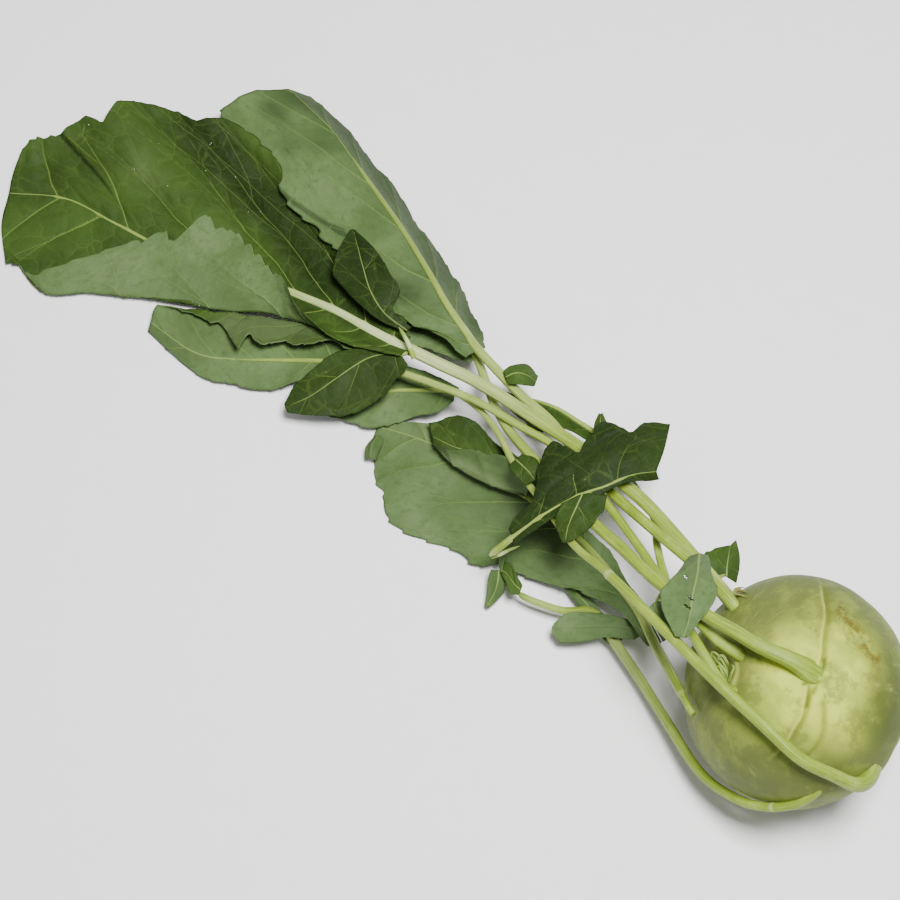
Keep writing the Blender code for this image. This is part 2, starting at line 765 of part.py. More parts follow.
def main():
    clear_scene()
    parts = new_collection("kohlrabi")
    cutters = new_collection("cutters")
    cutter = make_bulb_cutter(cutters)
    materials = {
        BULB_GREEN: finish("bulb skin", BULB_GREEN, 0.45),
        STALK_GREEN: finish("stalk skin", STALK_GREEN, 0.4),
        MIDRIB_PALE: finish("pale midrib", MIDRIB_PALE, 0.4),
        UPPER_GREEN: finish("leaf upper side", UPPER_GREEN, 0.5),
        UNDER_GREEN: finish("leaf underside", UNDER_GREEN, 0.6),
        ROOT_BROWN: finish("cut root", ROOT_BROWN, 0.8),
    }
    make_bulb(materials[BULB_GREEN], parts)
    make_root_stub(materials[ROOT_BROWN], parts, cutter)
    make_crown_bud(materials[STALK_GREEN], parts, cutter)
    stalks = {}
    for name, leaf in LEAVES.items():
        foot_cutter = None if leaf.get("loose") else cutter
        colour = leaf.get("rib_colour", STALK_GREEN)
        stalks[name] = make_stalk(name + "_stalk", leaf, materials[colour], parts, foot_cutter)
    branch = {"route": BRANCH_ROUTE, "radii": BRANCH_RADII, "blade_from": len(BRANCH_ROUTE) // 2}
    stalks["leaf_7 branch"] = make_stalk("leaf_7_branch", branch, materials[STALK_GREEN], parts, None)
    trees = {name: solid_tree(stalk) for name, stalk in stalks.items()}
    laid = []
    for name, leaf in LEAVES.items():
        below = laid + [tree for stalk, tree in trees.items() if not stalk.startswith(name)]
        blade = make_blade(name + "_blade", leaf, below, materials[leaf["colour"]], parts)
        laid.append(solid_tree(blade))
        make_leaflets_after(name, laid, list(trees.values()), materials, parts)


main()
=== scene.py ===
"""A kohlrabi with its whole top of leaves, lying on its side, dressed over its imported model."""
import math

import bpy
import numpy as np
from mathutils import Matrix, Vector, noise
from mathutils.bvhtree import BVHTree


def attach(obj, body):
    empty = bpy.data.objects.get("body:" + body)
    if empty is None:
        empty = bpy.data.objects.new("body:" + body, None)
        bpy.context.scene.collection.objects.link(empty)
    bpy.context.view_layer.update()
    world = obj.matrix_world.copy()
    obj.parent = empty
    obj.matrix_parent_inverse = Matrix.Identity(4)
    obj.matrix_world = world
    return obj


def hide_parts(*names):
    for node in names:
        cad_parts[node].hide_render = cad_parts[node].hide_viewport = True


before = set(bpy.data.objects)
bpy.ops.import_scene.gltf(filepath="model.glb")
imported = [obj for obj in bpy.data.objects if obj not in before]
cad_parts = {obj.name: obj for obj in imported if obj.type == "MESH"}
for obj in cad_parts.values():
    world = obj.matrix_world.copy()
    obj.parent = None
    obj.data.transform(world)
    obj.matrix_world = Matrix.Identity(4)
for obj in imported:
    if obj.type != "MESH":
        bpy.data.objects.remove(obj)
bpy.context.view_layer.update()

# The picture: the plant lies on a pale table and is seen from high on its leaning side, so that the
# bulb is at the lower right and the leaves run to the upper left. Two soft lamps and a pale sky.
look_at = Vector((0.16406, -0.02087, 0.015))
camera_back = Vector((-0.18124, 0.29005, 0.93969))
camera = bpy.data.objects.new("camera", bpy.data.cameras.new("camera"))
bpy.context.scene.collection.objects.link(camera)
camera_distance = 0.85
camera.location = look_at + camera_back * camera_distance
camera.rotation_euler = (-camera_back).to_track_quat("-Z", "Y").to_euler()
camera.data.lens = 85.0
camera.data.sensor_width = 36.0
camera.data.clip_start = 0.01
bpy.context.scene.camera = camera

picture_right = Vector((-0.848, -0.530, 0.0))
picture_up = camera_back.cross(picture_right)


def add_lamp(name, across, up, towards, size, power):
    """A square soft lamp placed by the picture: so far to its right, up, and out towards the viewer."""
    lamp = bpy.data.objects.new(name, bpy.data.lights.new(name, "AREA"))
    bpy.context.scene.collection.objects.link(lamp)
    lamp.location = look_at + picture_right * across + picture_up * up + camera_back * towards
    lamp.rotation_euler = (look_at - lamp.location).to_track_quat("-Z", "Y").to_euler()
    lamp.data.size = size
    lamp.data.energy = power


add_lamp("key lamp", across=0.17, up=0.30, towards=1.05, size=0.3, power=29.0)
add_lamp("fill lamp", across=-0.5, up=0.1, towards=1.0, size=0.9, power=1.5)

sky = bpy.data.worlds.new("sky")
bpy.context.scene.world = sky
sky.use_nodes = True
sky_light = sky.node_tree.nodes["Background"]
sky_light.inputs["Color"].default_value = (1.0, 1.0, 1.0, 1.0)
sky_light.inputs["Strength"].default_value = 0.24


class Tone:
    """A number, vector or colour on its way through a finish's nodes; sums on it add nodes."""

    def __init__(self, tree, socket):
        self.tree = tree
        self.socket = socket

    def node(self, kind, settings, inputs, output=0):
        """Adds any node: its settings first, then the values or links of its sockets."""
        made = self.tree.nodes.new(kind)
        for key, value in settings.items():
            if key == "stops":
                while len(made.color_ramp.elements) < len(value):
                    made.color_ramp.elements.new(0.5)
                for element, (place, colour) in zip(made.color_ramp.elements, value):
                    element.position = place
                    element.color = (*colour, 1.0)
            else:
                setattr(made, key, value)
        for key, value in inputs.items():
            if isinstance(value, Tone):
                self.tree.links.new(value.socket, made.inputs[key])
            else:
                made.inputs[key].default_value = value
        return Tone(self.tree, made.outputs[output])

    def maths(self, operation, *values):
        return self.node("ShaderNodeMath", {"operation": operation}, dict(enumerate(values)))

    def __add__(self, other):
        return self.maths("ADD", self, other)

    def __radd__(self, other):
        return self.maths("ADD", other, self)

    def __sub__(self, other):
        return self.maths("SUBTRACT", self, other)

    def __rsub__(self, other):
        return self.maths("SUBTRACT", other, self)

    def __mul__(self, other):
        return self.maths("MULTIPLY", self, other)

    def __rmul__(self, other):
        return self.maths("MULTIPLY", other, self)

    def absolute(self):
        return self.maths("ABSOLUTE", self)

    def least(self, other):
        return self.maths("MINIMUM", self, other)

    def most(self, other):
        return self.maths("MAXIMUM", self, other)

    def place(self):
        """Where each point of the piece lies, in metres."""
        return self.node("ShaderNodeTexCoord", {}, {}, "Object")

    def stored(self, name):
        """The three numbers that each vertex keeps under a name."""
        return self.node("ShaderNodeAttribute", {"attribute_name": name}, {}, "Vector").parts()

    def distance(self, spot):
        """How far a place is from one spot, in metres."""
        return self.node("ShaderNodeVectorMath", {"operation": "DISTANCE"}, {0: self, 1: spot}, "Value")

    def parts(self):
        """The three numbers of a vector."""
        split = self.node("ShaderNodeSeparateXYZ", {}, {0: self})
        outputs = split.socket.node.outputs
        return [Tone(self.tree, outputs[number]) for number in range(3)]

    def vector(self, x, y, z):
        return self.node("ShaderNodeCombineXYZ", {}, {0: x, 1: y, 2: z})

    def step(self, low, high):
        """Rises smoothly from 0 at low to 1 at high, or falls where low is the greater."""
        limits = {"Value": self, "From Min": low, "From Max": high}
        return self.node("ShaderNodeMapRange", {"interpolation_type": "SMOOTHSTEP"}, limits)

    def blend(self, one, other):
        """The colour one where this is 0, and other where it is 1."""
        both = [(*c, 1.0) if isinstance(c, tuple) else c for c in (one, other)]
        inputs = {0: self, 6: both[0], 7: both[1]}
        return self.node("ShaderNodeMix", {"data_type": "RGBA"}, inputs, 2)

    def clouds(self, place, scale, detail=2.0, roughness=0.5):
        """Soft noise from 0 to 1 over a place."""
        inputs = {"Vector": place, "Scale": scale, "Detail": detail, "Roughness": roughness}
        return self.node("ShaderNodeTexNoise", {}, inputs)

    def cells(self, place, scale, feature="DISTANCE_TO_EDGE"):
        """The distance from the edges of irregular cells, or from their middles."""
        inputs = {"Vector": place, "Scale": scale}
        return self.node("ShaderNodeTexVoronoi", {"feature": feature}, inputs)

    def bump(self, height, distance, strength=1.0):
        inputs = {"Height": height, "Distance": distance, "Strength": strength}
        return self.node("ShaderNodeBump", {}, inputs)


def start_finish(name, **fixed):
    """A new material with its surface shader's plain settings, and a Tone to start from."""
    material = bpy.data.materials.new(name)
    material.use_nodes = True
    tree = material.node_tree
    surface = tree.nodes["Principled BSDF"]
    for key, value in fixed.items():
        surface.inputs[key.replace("_", " ")].default_value = value
    return material, surface, Tone(tree, surface.outputs[0])


def feed(surface, **tones):
    """Joins what changes over the surface to its sockets."""
    for key, tone in tones.items():
        tone.tree.links.new(tone.socket, surface.inputs[key.replace("_", " ")])


def layered(colour, *layers):
    """A colour with others laid over it in turn, each with its mask, its strength and its own colour."""
    for mask, strength, over in layers:
        colour = (mask * strength).blend(colour, srgb(*over))
    return colour


def srgb(red, green, blue):
    """A colour as seen on a screen, 0 to 255, as the shader's own numbers."""
    shares = [value / 255 for value in (red, green, blue)]
    return tuple(v / 12.92 if v <= 0.04045 else ((v + 0.055) / 1.055) ** 2.4 for v in shares)


# The table: a plain pale ground for the plant to lie on, with a faint grain. It belongs to the picture
# only, a hair below the plant, and is no part of it.
bpy.ops.mesh.primitive_grid_add(x_subdivisions=40, y_subdivisions=40, size=3.0, location=look_at)
table = bpy.context.active_object
table.name = "table"
just_below = 0.0002
table.location.z = -just_below
table_finish, surface, tone = start_finish("pale table", Roughness=0.9)
grain = tone.clouds(tone.place(), 90.0, 4.0)
feed(surface, Base_Color=grain.blend((0.83, 0.83, 0.83), (0.87, 0.87, 0.87)))
table.data.materials.append(table_finish)

# The bulb: the swollen foot of the stem, pale yellow-green under a greyish bloom. It is an oval that
# leans over, ringed by the low ridges where older leaves grew, with a small flat spot under it. Its
# lines and spots are given in millimetres from the middle of that flat spot.
mm = 0.001
bulb_width, bulb_height = 86.0, 78.0
bulb_centre = Vector((0.0, 0.0, 40.6))
bulb_axis = Vector((0.65, 0.43, 0.63)).normalized()
bulb_turn = Vector((0, 0, 1)).rotation_difference(bulb_axis)
crown_ridge = [(13, -35, 61), (9, -27, 72), (5, -20, 77), (2, -11, 81), (-1, -4, 82), (-2, 2, 82)]
foot_ridge = [(-2, 5, 82), (-4, 12, 80), (-6, 18, 77), (-6, 22, 75), (-6, 27, 71), (-4, 33, 64)]
side_ridge = [(-30, -25, 55), (-36, -12, 57), (-38, 0, 54), (-38, 10, 50), (-35, 20, 46), (-26, 33, 38)]
under_ridge = [(20, -36, 28), (8, -42, 34), (-6, -42, 38), (-18, -38, 42), (-27, -29, 50)]
far_ridge = [(38, -14, 22), (30, -26, 16), (16, -35, 16), (0, -38, 20), (-14, -36, 22), (-25, -30, 28)]
low_ridge = [(10, 40, 22), (-4, 40, 24), (-18, 36, 28), (-30, 27, 28), (-37, 16, 28)]
window_ridge = [(34, 5, 60), (30, 8, 65), (25, 10, 69), (22, 14, 70), (20, 20, 68)]
lobe_ridge = [(-7, 8, 82), (-11, 13, 79), (-15, 20, 75), (-15, 26, 71), (-12, 32, 67)]
groove_shift = (-1.2, -0.7, 0.0)
ridges_with_height_and_spread = (
    (crown_ridge, 0.6, 0.65), (foot_ridge, 0.6, 0.65), (side_ridge, 0.9, 2.0), (under_ridge, 0.8, 2.0),
    (far_ridge, 0.8, 2.0), (low_ridge, 0.8, 2.0), (window_ridge, 0.5, 1.2),
)
groove_width, groove_depth = 0.95, 1.0
crack_width, crack_depth = 0.7, 0.8
cork_width = 4.0
crown_dip, crown_dip_share = 1.5, 0.03
lump_height, broad_lump, small_lump = 0.6, 21.0, 8.0
cracks = (
    [(-3, -4, 82), (-4, -1, 82), (-4.5, 2, 82)], [(-1, 8, 81), (-3, 6.5, 81.5), (-5.5, 4.5, 82)],
    [(-2.5, 7, 81), (-4.5, 10.5, 80), (-6, 14, 79)], [(-5, 5, 82), (-5.5, 9, 81)],
)
corky_line = [(2, -26, 75), (-4, -22, 77), (-9, -19, 78), (-14, -17, 77.5), (-18, -15, 76)]
feet_with_height_and_spread = (
    ((-2, 3, 81), 1.0, 5.0), ((32, -14, 60), 1.2, 6.0), ((21, 19, 67), 0.8, 4.0), ((33, 6, 62), 1.5, 6.0),
    ((-35, 12, 51), 1.5, 7.0), ((-24, 33, 52), 1.0, 5.0), ((28, 11, 67), -1.6, 5.0),
)


def spline(points, place):
    """A point on the smooth curve through the points; place is counted in points."""
    index = min(int(place), len(points) - 2)
    part = place - index
    start, end = points[index], points[index + 1]
    before = points[index - 1] if index > 0 else 2 * start - end
    after = points[index + 2] if index + 2 < len(points) else 2 * end - start
    return 0.5 * (
        2 * start
        + (end - before) * part
        + (2 * before - 5 * start + 4 * end - after) * part**2
        + (3 * start - before - 3 * end + after) * part**3
    )


def rounded(points):
    """A list of points made into a smooth line."""
    route = [np.array(point, float) for point in points]
    steps = 12 * (len(route) - 1)
    return np.array([spline(route, (len(route) - 1) * k / steps) for k in range(steps + 1)])


def near(places, line):
    """How far each place is from a line's points, and how far along the line the nearest one is."""
    away = np.linalg.norm(places[:, None, :] - line[None, :, :], axis=2)
    return away.min(axis=1), away.argmin(axis=1) / (len(line) - 1)


def store(mesh, name, values):
    """Keeps a number triple for each vertex, for the finish to read."""
    kept = mesh.attributes.new(name, "FLOAT_VECTOR", "POINT")
    kept.data.foreach_set("vector", np.asarray(values, np.float32).ravel())


def read_places(mesh):
    """Every vertex's place, in millimetres."""
    places = np.empty(len(mesh.vertices) * 3)
    mesh.vertices.foreach_get("co", places)
    return places.reshape(-1, 3) / mm


bpy.ops.object.select_all(action="DESELECT")
bpy.ops.mesh.primitive_uv_sphere_add(segments=400, ring_count=236, radius=1.0)
bulb = bpy.context.active_object
bulb.name = bulb.data.name = "bulb_skin"
bpy.ops.transform.resize(value=(bulb_width / 2 * mm, bulb_width / 2 * mm, bulb_height / 2 * mm))
bulb.rotation_euler = bulb_turn.to_euler()
bulb.location = bulb_centre * mm
bpy.ops.object.transform_apply(location=True, rotation=True, scale=True)

places = read_places(bulb.data)
outward = places - np.array(bulb_centre)
outward /= np.linalg.norm(outward, axis=1)[:, None]
latitude = outward @ np.array(bulb_axis)
rise = np.zeros(len(places))
ridge_mask = np.zeros(len(places))
for line, height, spread in ridges_with_height_and_spread:
    away, along = near(places, rounded(line))
    ends = np.clip(np.minimum(along, 1 - along) * 8, 0, 1) * 0.6 + 0.4
    crest = np.exp(-((away / spread) ** 2)) * ends
    rise += height * crest
    ridge_mask = np.maximum(ridge_mask, crest)
spots = [Vector(place) for place in places]
lumps = [noise.noise(spot / broad_lump) + 0.35 * noise.noise(spot / small_lump) for spot in spots]
rise += lump_height * np.array(lumps)
groove_and_foot_darkening = np.zeros(len(places))
crack_and_hollow_mask = np.zeros(len(places))
for line in cracks:
    away, along = near(places, rounded(line))
    crack = np.exp(-((away / crack_width) ** 2))
    rise -= crack_depth * crack
    crack_and_hollow_mask = np.maximum(crack_and_hollow_mask, crack)
away, along = near(places, rounded(corky_line))
cork_mask = np.exp(-((away / cork_width) ** 2))
for foot, height, spread in feet_with_height_and_spread:
    away = np.linalg.norm(places - np.array(foot), axis=1)
    pad = np.exp(-((away / spread) ** 2))
    rise += height * pad
    # The skin is darker around each stalk's foot.
    groove_and_foot_darkening = np.maximum(groove_and_foot_darkening, 0.5 * pad)
    # A dip in the crown is painted dark like the cracks: painted shade in the hollow.
    if height < 0:
        crack_and_hollow_mask = np.maximum(crack_and_hollow_mask, pad)
# The grooves beside the ridges are sunk into the skin, and painted shade darkens them.
for line in (crown_ridge, foot_ridge, lobe_ridge):
    away, along = near(places, rounded(line) + np.array(groove_shift))
    ends = np.clip(np.minimum(along, 1 - along) * 6, 0, 1)
    shaded_groove = np.exp(-((away / groove_width) ** 2)) * ends
    rise -= groove_depth * shaded_groove
    groove_and_foot_darkening = np.maximum(groove_and_foot_darkening, shaded_groove)
rise -= crown_dip * np.exp(-(((1 - latitude) / crown_dip_share) ** 2))
places += outward * rise[:, None]
places[:, 2] = np.maximum(places[:, 2], 0.0)
bulb.data.vertices.foreach_set("co", (places * mm).ravel())
sideways = np.cross(outward, np.array(bulb_axis))
across, along_x = sideways @ np.array((0.0, 0.83, -0.56)), sideways @ np.array((1.0, 0.0, 0.0))
around = np.arctan2(across, along_x)
store(bulb.data, "turning", np.stack([np.sin(around), crack_and_hollow_mask, cork_mask], axis=1))
store(bulb.data, "skin", np.stack([latitude, ridge_mask, groove_and_foot_darkening], axis=1))
bulb.data.update()
bulb.data.shade_smooth()

bulb_finish, surface, tone = start_finish(
    "bulb skin", Specular_IOR_Level=0.1, Subsurface_Weight=0.12, Subsurface_Scale=1.0,
    Subsurface_Radius=(0.006, 0.006, 0.002))
place = tone.place()
skin_latitude, ridge, shaded_groove = tone.stored("skin")
longitude, crack, cork = tone.stored("turning")
broad = tone.clouds(place, 26.0, 3.0, 0.55)
fine = tone.clouds(place, 140.0, 4.0, 0.6)
mottle = tone.clouds(place, 60.0, 5.0, 0.65)
# The top is paler: partly the bulb's own paler skin there, and partly painted light that is brightest on the
# top and falls off to olive all round.
from_top = place.distance((-0.007, 0.003, 0.081))
pale_top_and_painted_light = (from_top + (broad - 0.5) * 0.026 + (mottle - 0.5) * 0.012).step(0.034, 0.01)
# Painted shade: one flank of the bulb is darkened to olive around a spot on its side.
from_side = place.distance((-0.034, -0.008, 0.066))
painted_shade_flank = (from_side + (mottle - 0.5) * 0.01).step(0.026, 0.008)
bloom = (tone.clouds(place, 38.0, 6.0, 0.7) * 0.8 + fine * 0.3).step(0.52, 0.74)
scuff_run = {"Vector": place, "Rotation": (0.4, 0.9, 0.3), "Scale": (1.0, 3.2, 1.0)}
scuff_cloud = tone.clouds(tone.node("ShaderNodeMapping", {}, scuff_run), 48.0, 6.0, 0.7)
scuffs = scuff_cloud.step(0.66, 0.74) * tone.clouds(place, 12.0).step(0.5, 0.6)
torn_up = tone.clouds(place, 190.0, 5.0, 0.7)
meridian = tone.clouds(tone.vector(skin_latitude * 2.0, longitude * 9.0, 0.0), 2.0, 5.0, 0.65)
flesh = layered(
    pale_top_and_painted_light.blend(srgb(93, 103, 50), srgb(182, 198, 68)),
    (mottle.step(0.44, 0.62), 0.55, (132, 147, 56)),
    (tone.clouds(place, 90.0, 5.0, 0.7).step(0.5, 0.62), 0.5, (88, 97, 46)),
    (painted_shade_flank, 0.85, (72, 82, 34)),
    (bloom, 0.24, (142, 152, 78)),
    (scuffs, 0.55, (120, 100, 44)),
    (cork * torn_up.step(0.44, 0.56), 0.8, (88, 72, 24)),
    (cork * torn_up.step(0.4, 0.32), 0.7, (196, 190, 140)),
    # Darkened cracks, and painted shade in the crown's hollow.
    (crack, 0.85, (62, 66, 14)),
    # Painted shade in the grooves beside the ridges, and darker skin around the stalks' feet.
    (shaded_groove, 0.65, (88, 98, 26)),
    (ridge, 0.45, (192, 204, 86)),
    (meridian.step(0.56, 0.72), 0.35, (168, 176, 88)),
)
feed(surface, Base_Color=flesh, Roughness=0.42 + 0.2 * fine + 0.12 * bloom)
pores = tone.bump(fine * 0.6 + tone.clouds(place, 420.0, 3.0) * 0.4, 0.0004, 0.35)
feed(surface, Normal=pores)
bulb.data.materials.append(bulb_finish)
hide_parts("bulb")
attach(bulb, "root")

# The stalks: round, waxy and pale green, flaring where they leave the bulb and thinning into the
# midrib. Each leaf's sizes are in its own section further on, in millimetres: a route from the foot
# to the tip, and the radii at the foot, where the blade starts and at the tip.
def unit(vector):
    """The vector at length one."""
    return vector / max(np.linalg.norm(vector), 1e-9)


def stem_radius(leaf, place):
    """The stem's radius at a place on its route: even to the blade, then tapering to the tip."""
    foot, neck, tip = leaf["radii"]
    start, last = leaf["blade_from"], len(leaf["route"]) - 1
    if place < start:
        return foot + (neck - foot) * place / start
    return neck + (tip - neck) * ((place - start) / (last - start)) ** 0.8


def add_mesh(name, points, faces, materials, indices=None):
    """A smooth mesh object from points in millimetres, with its finishes."""
    mesh = bpy.data.meshes.new(name)
    mesh.from_pydata([tuple(point) for point in np.asarray(points) * mm], [], faces)
    for material in materials:
        mesh.materials.append(material)
    mesh.shade_smooth()
    piece = bpy.data.objects.new(name, mesh)
    bpy.context.scene.collection.objects.link(piece)
    return piece


def distances_along(line):
    """How far each point of a line is from its start, along it."""
    return np.concatenate([[0], np.cumsum(np.linalg.norm(np.diff(line, axis=0), axis=1))])


def add_stem(name, leaf, finish, flare=0.4, stop=0.35, around=30, seed=0, cell=1.1):
    """A leaf's stalk and midrib as one ribbed stem, with a flared foot where it leaves the bulb.

    A node is a pale scar ring: its place on the route, and how much thinner the stalk is beyond it.
    """
    route = [np.array(point, float) for point in leaf["route"]]
    last = len(route) - 1 - stop
    samples = 401
    rough = [spline(route, last * k / (samples - 1)) for k in range(samples)]
    runs = distances_along(rough)
    rings = max(6, int(runs[-1] / cell))
    marks = np.interp(np.linspace(0, runs[-1], rings + 1), runs, np.linspace(0, last, samples))
    middle = np.array(bulb_centre)
    axis = np.array(bulb_axis)
    points, facts, parts = [], [], []
    side = None
    foot_reach = leaf.get("foot_reach", 7.0)
    node = leaf.get("node")
    fade = leaf.get("tip_fade", 14.0)
    exit_run, just_outside = 0.0, 1.02
    for number, mark in enumerate(marks):
        run = runs[-1] * number / rings
        point = spline(route, mark)
        ahead = unit(spline(route, min(mark + 0.02, last)) - spline(route, max(mark - 0.02, 0.0)))
        out = point - middle
        level = out @ axis
        depth = math.sqrt(((out @ out) - level**2) / (bulb_width / 2) ** 2 + (level / (bulb_height / 2)) ** 2)
        if depth < just_outside:
            exit_run = run
        if side is None:
            side = unit(np.cross(ahead, unit(out)))
        side = unit(side - ahead * (side @ ahead))
        top = np.cross(side, ahead)
        radius = stem_radius(leaf, mark)
        swell = math.exp(-max(run - exit_run, 0.0) / foot_reach) * flare
        tip = min(1.0, (runs[-1] - run) / fade + 0.2)
        ring = 0.0
        if node:
            ring = 0.6 * math.exp(-(((mark - node[0]) / 0.04) ** 2))
            tip *= 1.0 + 0.12 * ring - node[1] * min(max((mark - node[0]) / 0.05, 0.0), 1.0)
        if "torn" in leaf:
            tip *= min(1.0, 0.35 + run / 4.0)
            ring = math.exp(-run / 2.0)
        grown = max(mark - leaf["blade_from"], 0.0) / (last - leaf["blade_from"])
        stalk = min(mark / max(leaf["blade_from"], 1), 1.0)
        for k in range(around):
            turn = math.tau * k / around
            ribs = 1 + 0.035 * math.cos(5 * turn + seed) + 0.02 * math.cos(9 * turn + 2 * seed + run / 40)
            ribs += 0.03 * noise.noise(Vector((run / 14, math.cos(turn), math.sin(turn) + seed)))
            wide = radius * tip * ribs * (1 + 1.0 * swell)
            high = radius * tip * ribs * (1 + 0.15 * swell)
            points.append(point + side * wide * math.cos(turn) + top * high * math.sin(turn))
            facts.append((run, math.cos(turn), math.sin(turn)))
            parts.append((grown, stalk, ring))
    faces = []
    for i in range(rings):
        for k in range(around):
            a, b = i * around + k, i * around + (k + 1) % around
            faces.append((a, b, b + around, a + around))
    faces.append(tuple(reversed(range(around))))
    faces.append(tuple(rings * around + k for k in range(around)))
    stem = add_mesh(name, points, faces, [finish])
    store(stem.data, "stem", facts)
    store(stem.data, "part", parts)
    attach(stem, "root")
    return stem


def stem_finish(name, pale, deep, bright, white):
    """Waxy green with lines along the stalk, paler where the wax is rubbed off, and whiter by a share."""
    material, surface, tone = start_finish(
        name, Specular_IOR_Level=0.35, Subsurface_Weight=0.1, Subsurface_Scale=1.0,
        Subsurface_Radius=(0.003, 0.003, 0.001))
    run, level, upright = tone.stored("stem")
    place = tone.place()
    lined = tone.vector(run * 0.02, level * 1.6, upright * 1.6)
    lines = tone.clouds(lined, 3.2, 5.0, 0.65)
    patches = tone.clouds(place, 70.0, 4.0, 0.6)
    colour = lines.step(0.3, 0.7).blend(deep, pale)
    colour = (patches.step(0.5, 0.75) * 0.5).blend(colour, bright)
    grown, stalk, ring = tone.stored("part")
    whitened = stalk.step(0.55, 1.0) * grown.step(0.75, 0.1) * white
    colour = whitened.blend(colour, lines.step(0.3, 0.7).blend(srgb(162, 178, 104), srgb(194, 206, 150)))
    specks = tone.clouds(place, 420.0, 2.0).step(0.66, 0.72)
    colour = layered(
        colour,
        (grown.step(0.05, 0.95), 0.8, (112, 134, 62)),
        (ring, 0.7, (200, 208, 158)),
        (specks, 0.3, (150, 150, 90)),
    )
    feed(surface, Base_Color=colour, Roughness=0.38 + 0.22 * patches)
    feed(surface, Normal=tone.bump(lines * 0.7 + patches * 0.3, 0.0005, 0.6))
    return material


green_stem = stem_finish("green stalk", srgb(140, 160, 50), srgb(98, 122, 26), srgb(172, 188, 86), 0.25)
pale_stem = stem_finish("pale midrib", srgb(146, 164, 62), srgb(104, 128, 34), srgb(176, 190, 94), 1.0)

# The blades: each is one thin sheet that grows out of both sides of a midrib, puffed up between its
# veins and toothed at its edge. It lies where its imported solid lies, over the leaves already laid.
sheet_points, sheet_faces = [], []


def trees_of(*names):
    """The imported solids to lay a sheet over, joined as one search tree."""
    points, faces = [], []
    for name in names:
        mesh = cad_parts[name].data
        start = len(points)
        points += [vertex.co / mm for vertex in mesh.vertices]
        faces += [[start + k for k in face.vertices] for face in mesh.polygons]
    return BVHTree.FromPolygons(points, faces)


def edge_change(run, side, seed, teeth, marks):
    """How far the margin stands out or in at a distance along the blade: long waves and teeth."""
    phase = 0.6 if side > 0 else 2.9
    wave, wave_run, tooth_run = 1.6, 27.0, 7.5
    change = wave * math.sin(math.tau * run / wave_run + phase)
    if teeth:
        change += 1.5 * noise.noise(Vector((run / 9.0, 7.0 * side, seed)))
        nip = (run / tooth_run + 0.9 * noise.noise(Vector((run / 11.0, side, seed + 3.0)))) % 1.0
        change += teeth * (0.9 * nip**1.5 - 0.4)
    for at, amount, spread in marks:
        change += amount * math.exp(-(((run - at) / spread) ** 2))
    return change


def edge_wave(run, length, side):
    """How far the margin waves up or down: least at the blade's two ends."""
    phase, wave_run = (0.6 if side > 0 else 2.9), 38.0
    return math.sin(math.pi * run / length) * math.sin(math.tau * run / wave_run + phase)


def half_row(middle, along, curves, place, inset, shares, length, side, seed=0, teeth=0.0, marks=(),
             narrowing=((0, 1), (1, 1)), margin=()):
    """Points over one half of a blade at shares of its width, and how far each is from the midrib."""
    section = [middle] + [spline(curve, place) for curve in curves]
    steps = 12 * (len(section) - 1)
    line = np.array([spline(section, (len(section) - 1) * k / steps) for k in range(steps + 1)])
    runs = distances_along(line)
    if along is not None:
        inset /= max(np.linalg.norm(np.cross(unit(line[1] - line[0]), along)), 0.4)
    run = length * place / (len(curves[0]) - 1)
    narrow = min(1.0, runs[-1] / 27.0)
    width = runs[-1] + edge_change(run, side, seed, teeth, marks) * narrow
    width = inset + (width - inset) * np.interp(run, *narrowing)
    if margin:
        first, last = margin[0][0], margin[-1][0]
        blend = np.interp(run, [first, first + 4, last - 4, last], [0, 1, 1, 0])
        drawn = np.interp(run, *zip(*margin)) + 0.6 * noise.noise(Vector((run / 2.5, seed, side)))
        width += (drawn - width) * blend
    target = inset + (width - inset) * shares
    index = np.clip(np.searchsorted(runs, target, "right") - 1, 0, len(line) - 2)
    part = ((target - runs[index]) / (runs[index + 1] - runs[index]))[:, None]
    points = line[index] * (1 - part) + line[index + 1] * part
    points[:, 2] += edge_wave(run, length, side) * shares**3
    return points, target, width


def lifts_over(rows, below):
    """How far each point of a grid has to rise to lie over what is below, neighbours following."""
    lifts = np.zeros(rows.shape[:2])
    over_solid, over_table, easing = 1.5, 0.5, 0.8
    around = ((0, 0), (3, 0), (-3, 0), (0, 3), (0, -3), (2, 2), (2, -2), (-2, 2), (-2, -2))
    for i, row in enumerate(rows):
        for j, point in enumerate(row):
            lifts[i, j] = max(0.0, over_table - point[2])
            for dx, dy in around:
                start = Vector(point) + Vector((dx, dy, 5.0))
                for _ in range(4):
                    hit, normal, _, _ = below.ray_cast(start, Vector((0, 0, -1)))
                    if hit is None:
                        break
                    if normal.z > 0:
                        lifts[i, j] = max(lifts[i, j], hit.z + over_solid - point[2])
                        break
                    start = hit - Vector((0, 0, 0.05))
    for _ in range(3):
        padded = np.pad(lifts, 1)
        ones = np.pad(np.ones(lifts.shape), 1)
        total = padded[:-2, 1:-1] + padded[2:, 1:-1] + padded[1:-1, :-2] + padded[1:-1, 2:]
        count = ones[:-2, 1:-1] + ones[2:, 1:-1] + ones[1:-1, :-2] + ones[1:-1, 2:]
        lifts = np.maximum(lifts, easing * total / count)
    return lifts


def blurred(grid, reach):
    """A grid smoothed over its neighbours."""
    weights = np.exp(-(np.arange(-3 * reach, 3 * reach + 1) ** 2) / (2.0 * reach**2))
    weights /= weights.sum()
    for axis in (0, 1):
        padding = [(3 * reach, 3 * reach) if axis == k else (0, 0) for k in (0, 1)]
        padded = np.pad(grid, padding, mode="edge")
        grid = np.apply_along_axis(np.convolve, axis, padded, weights, "valid")
    return grid


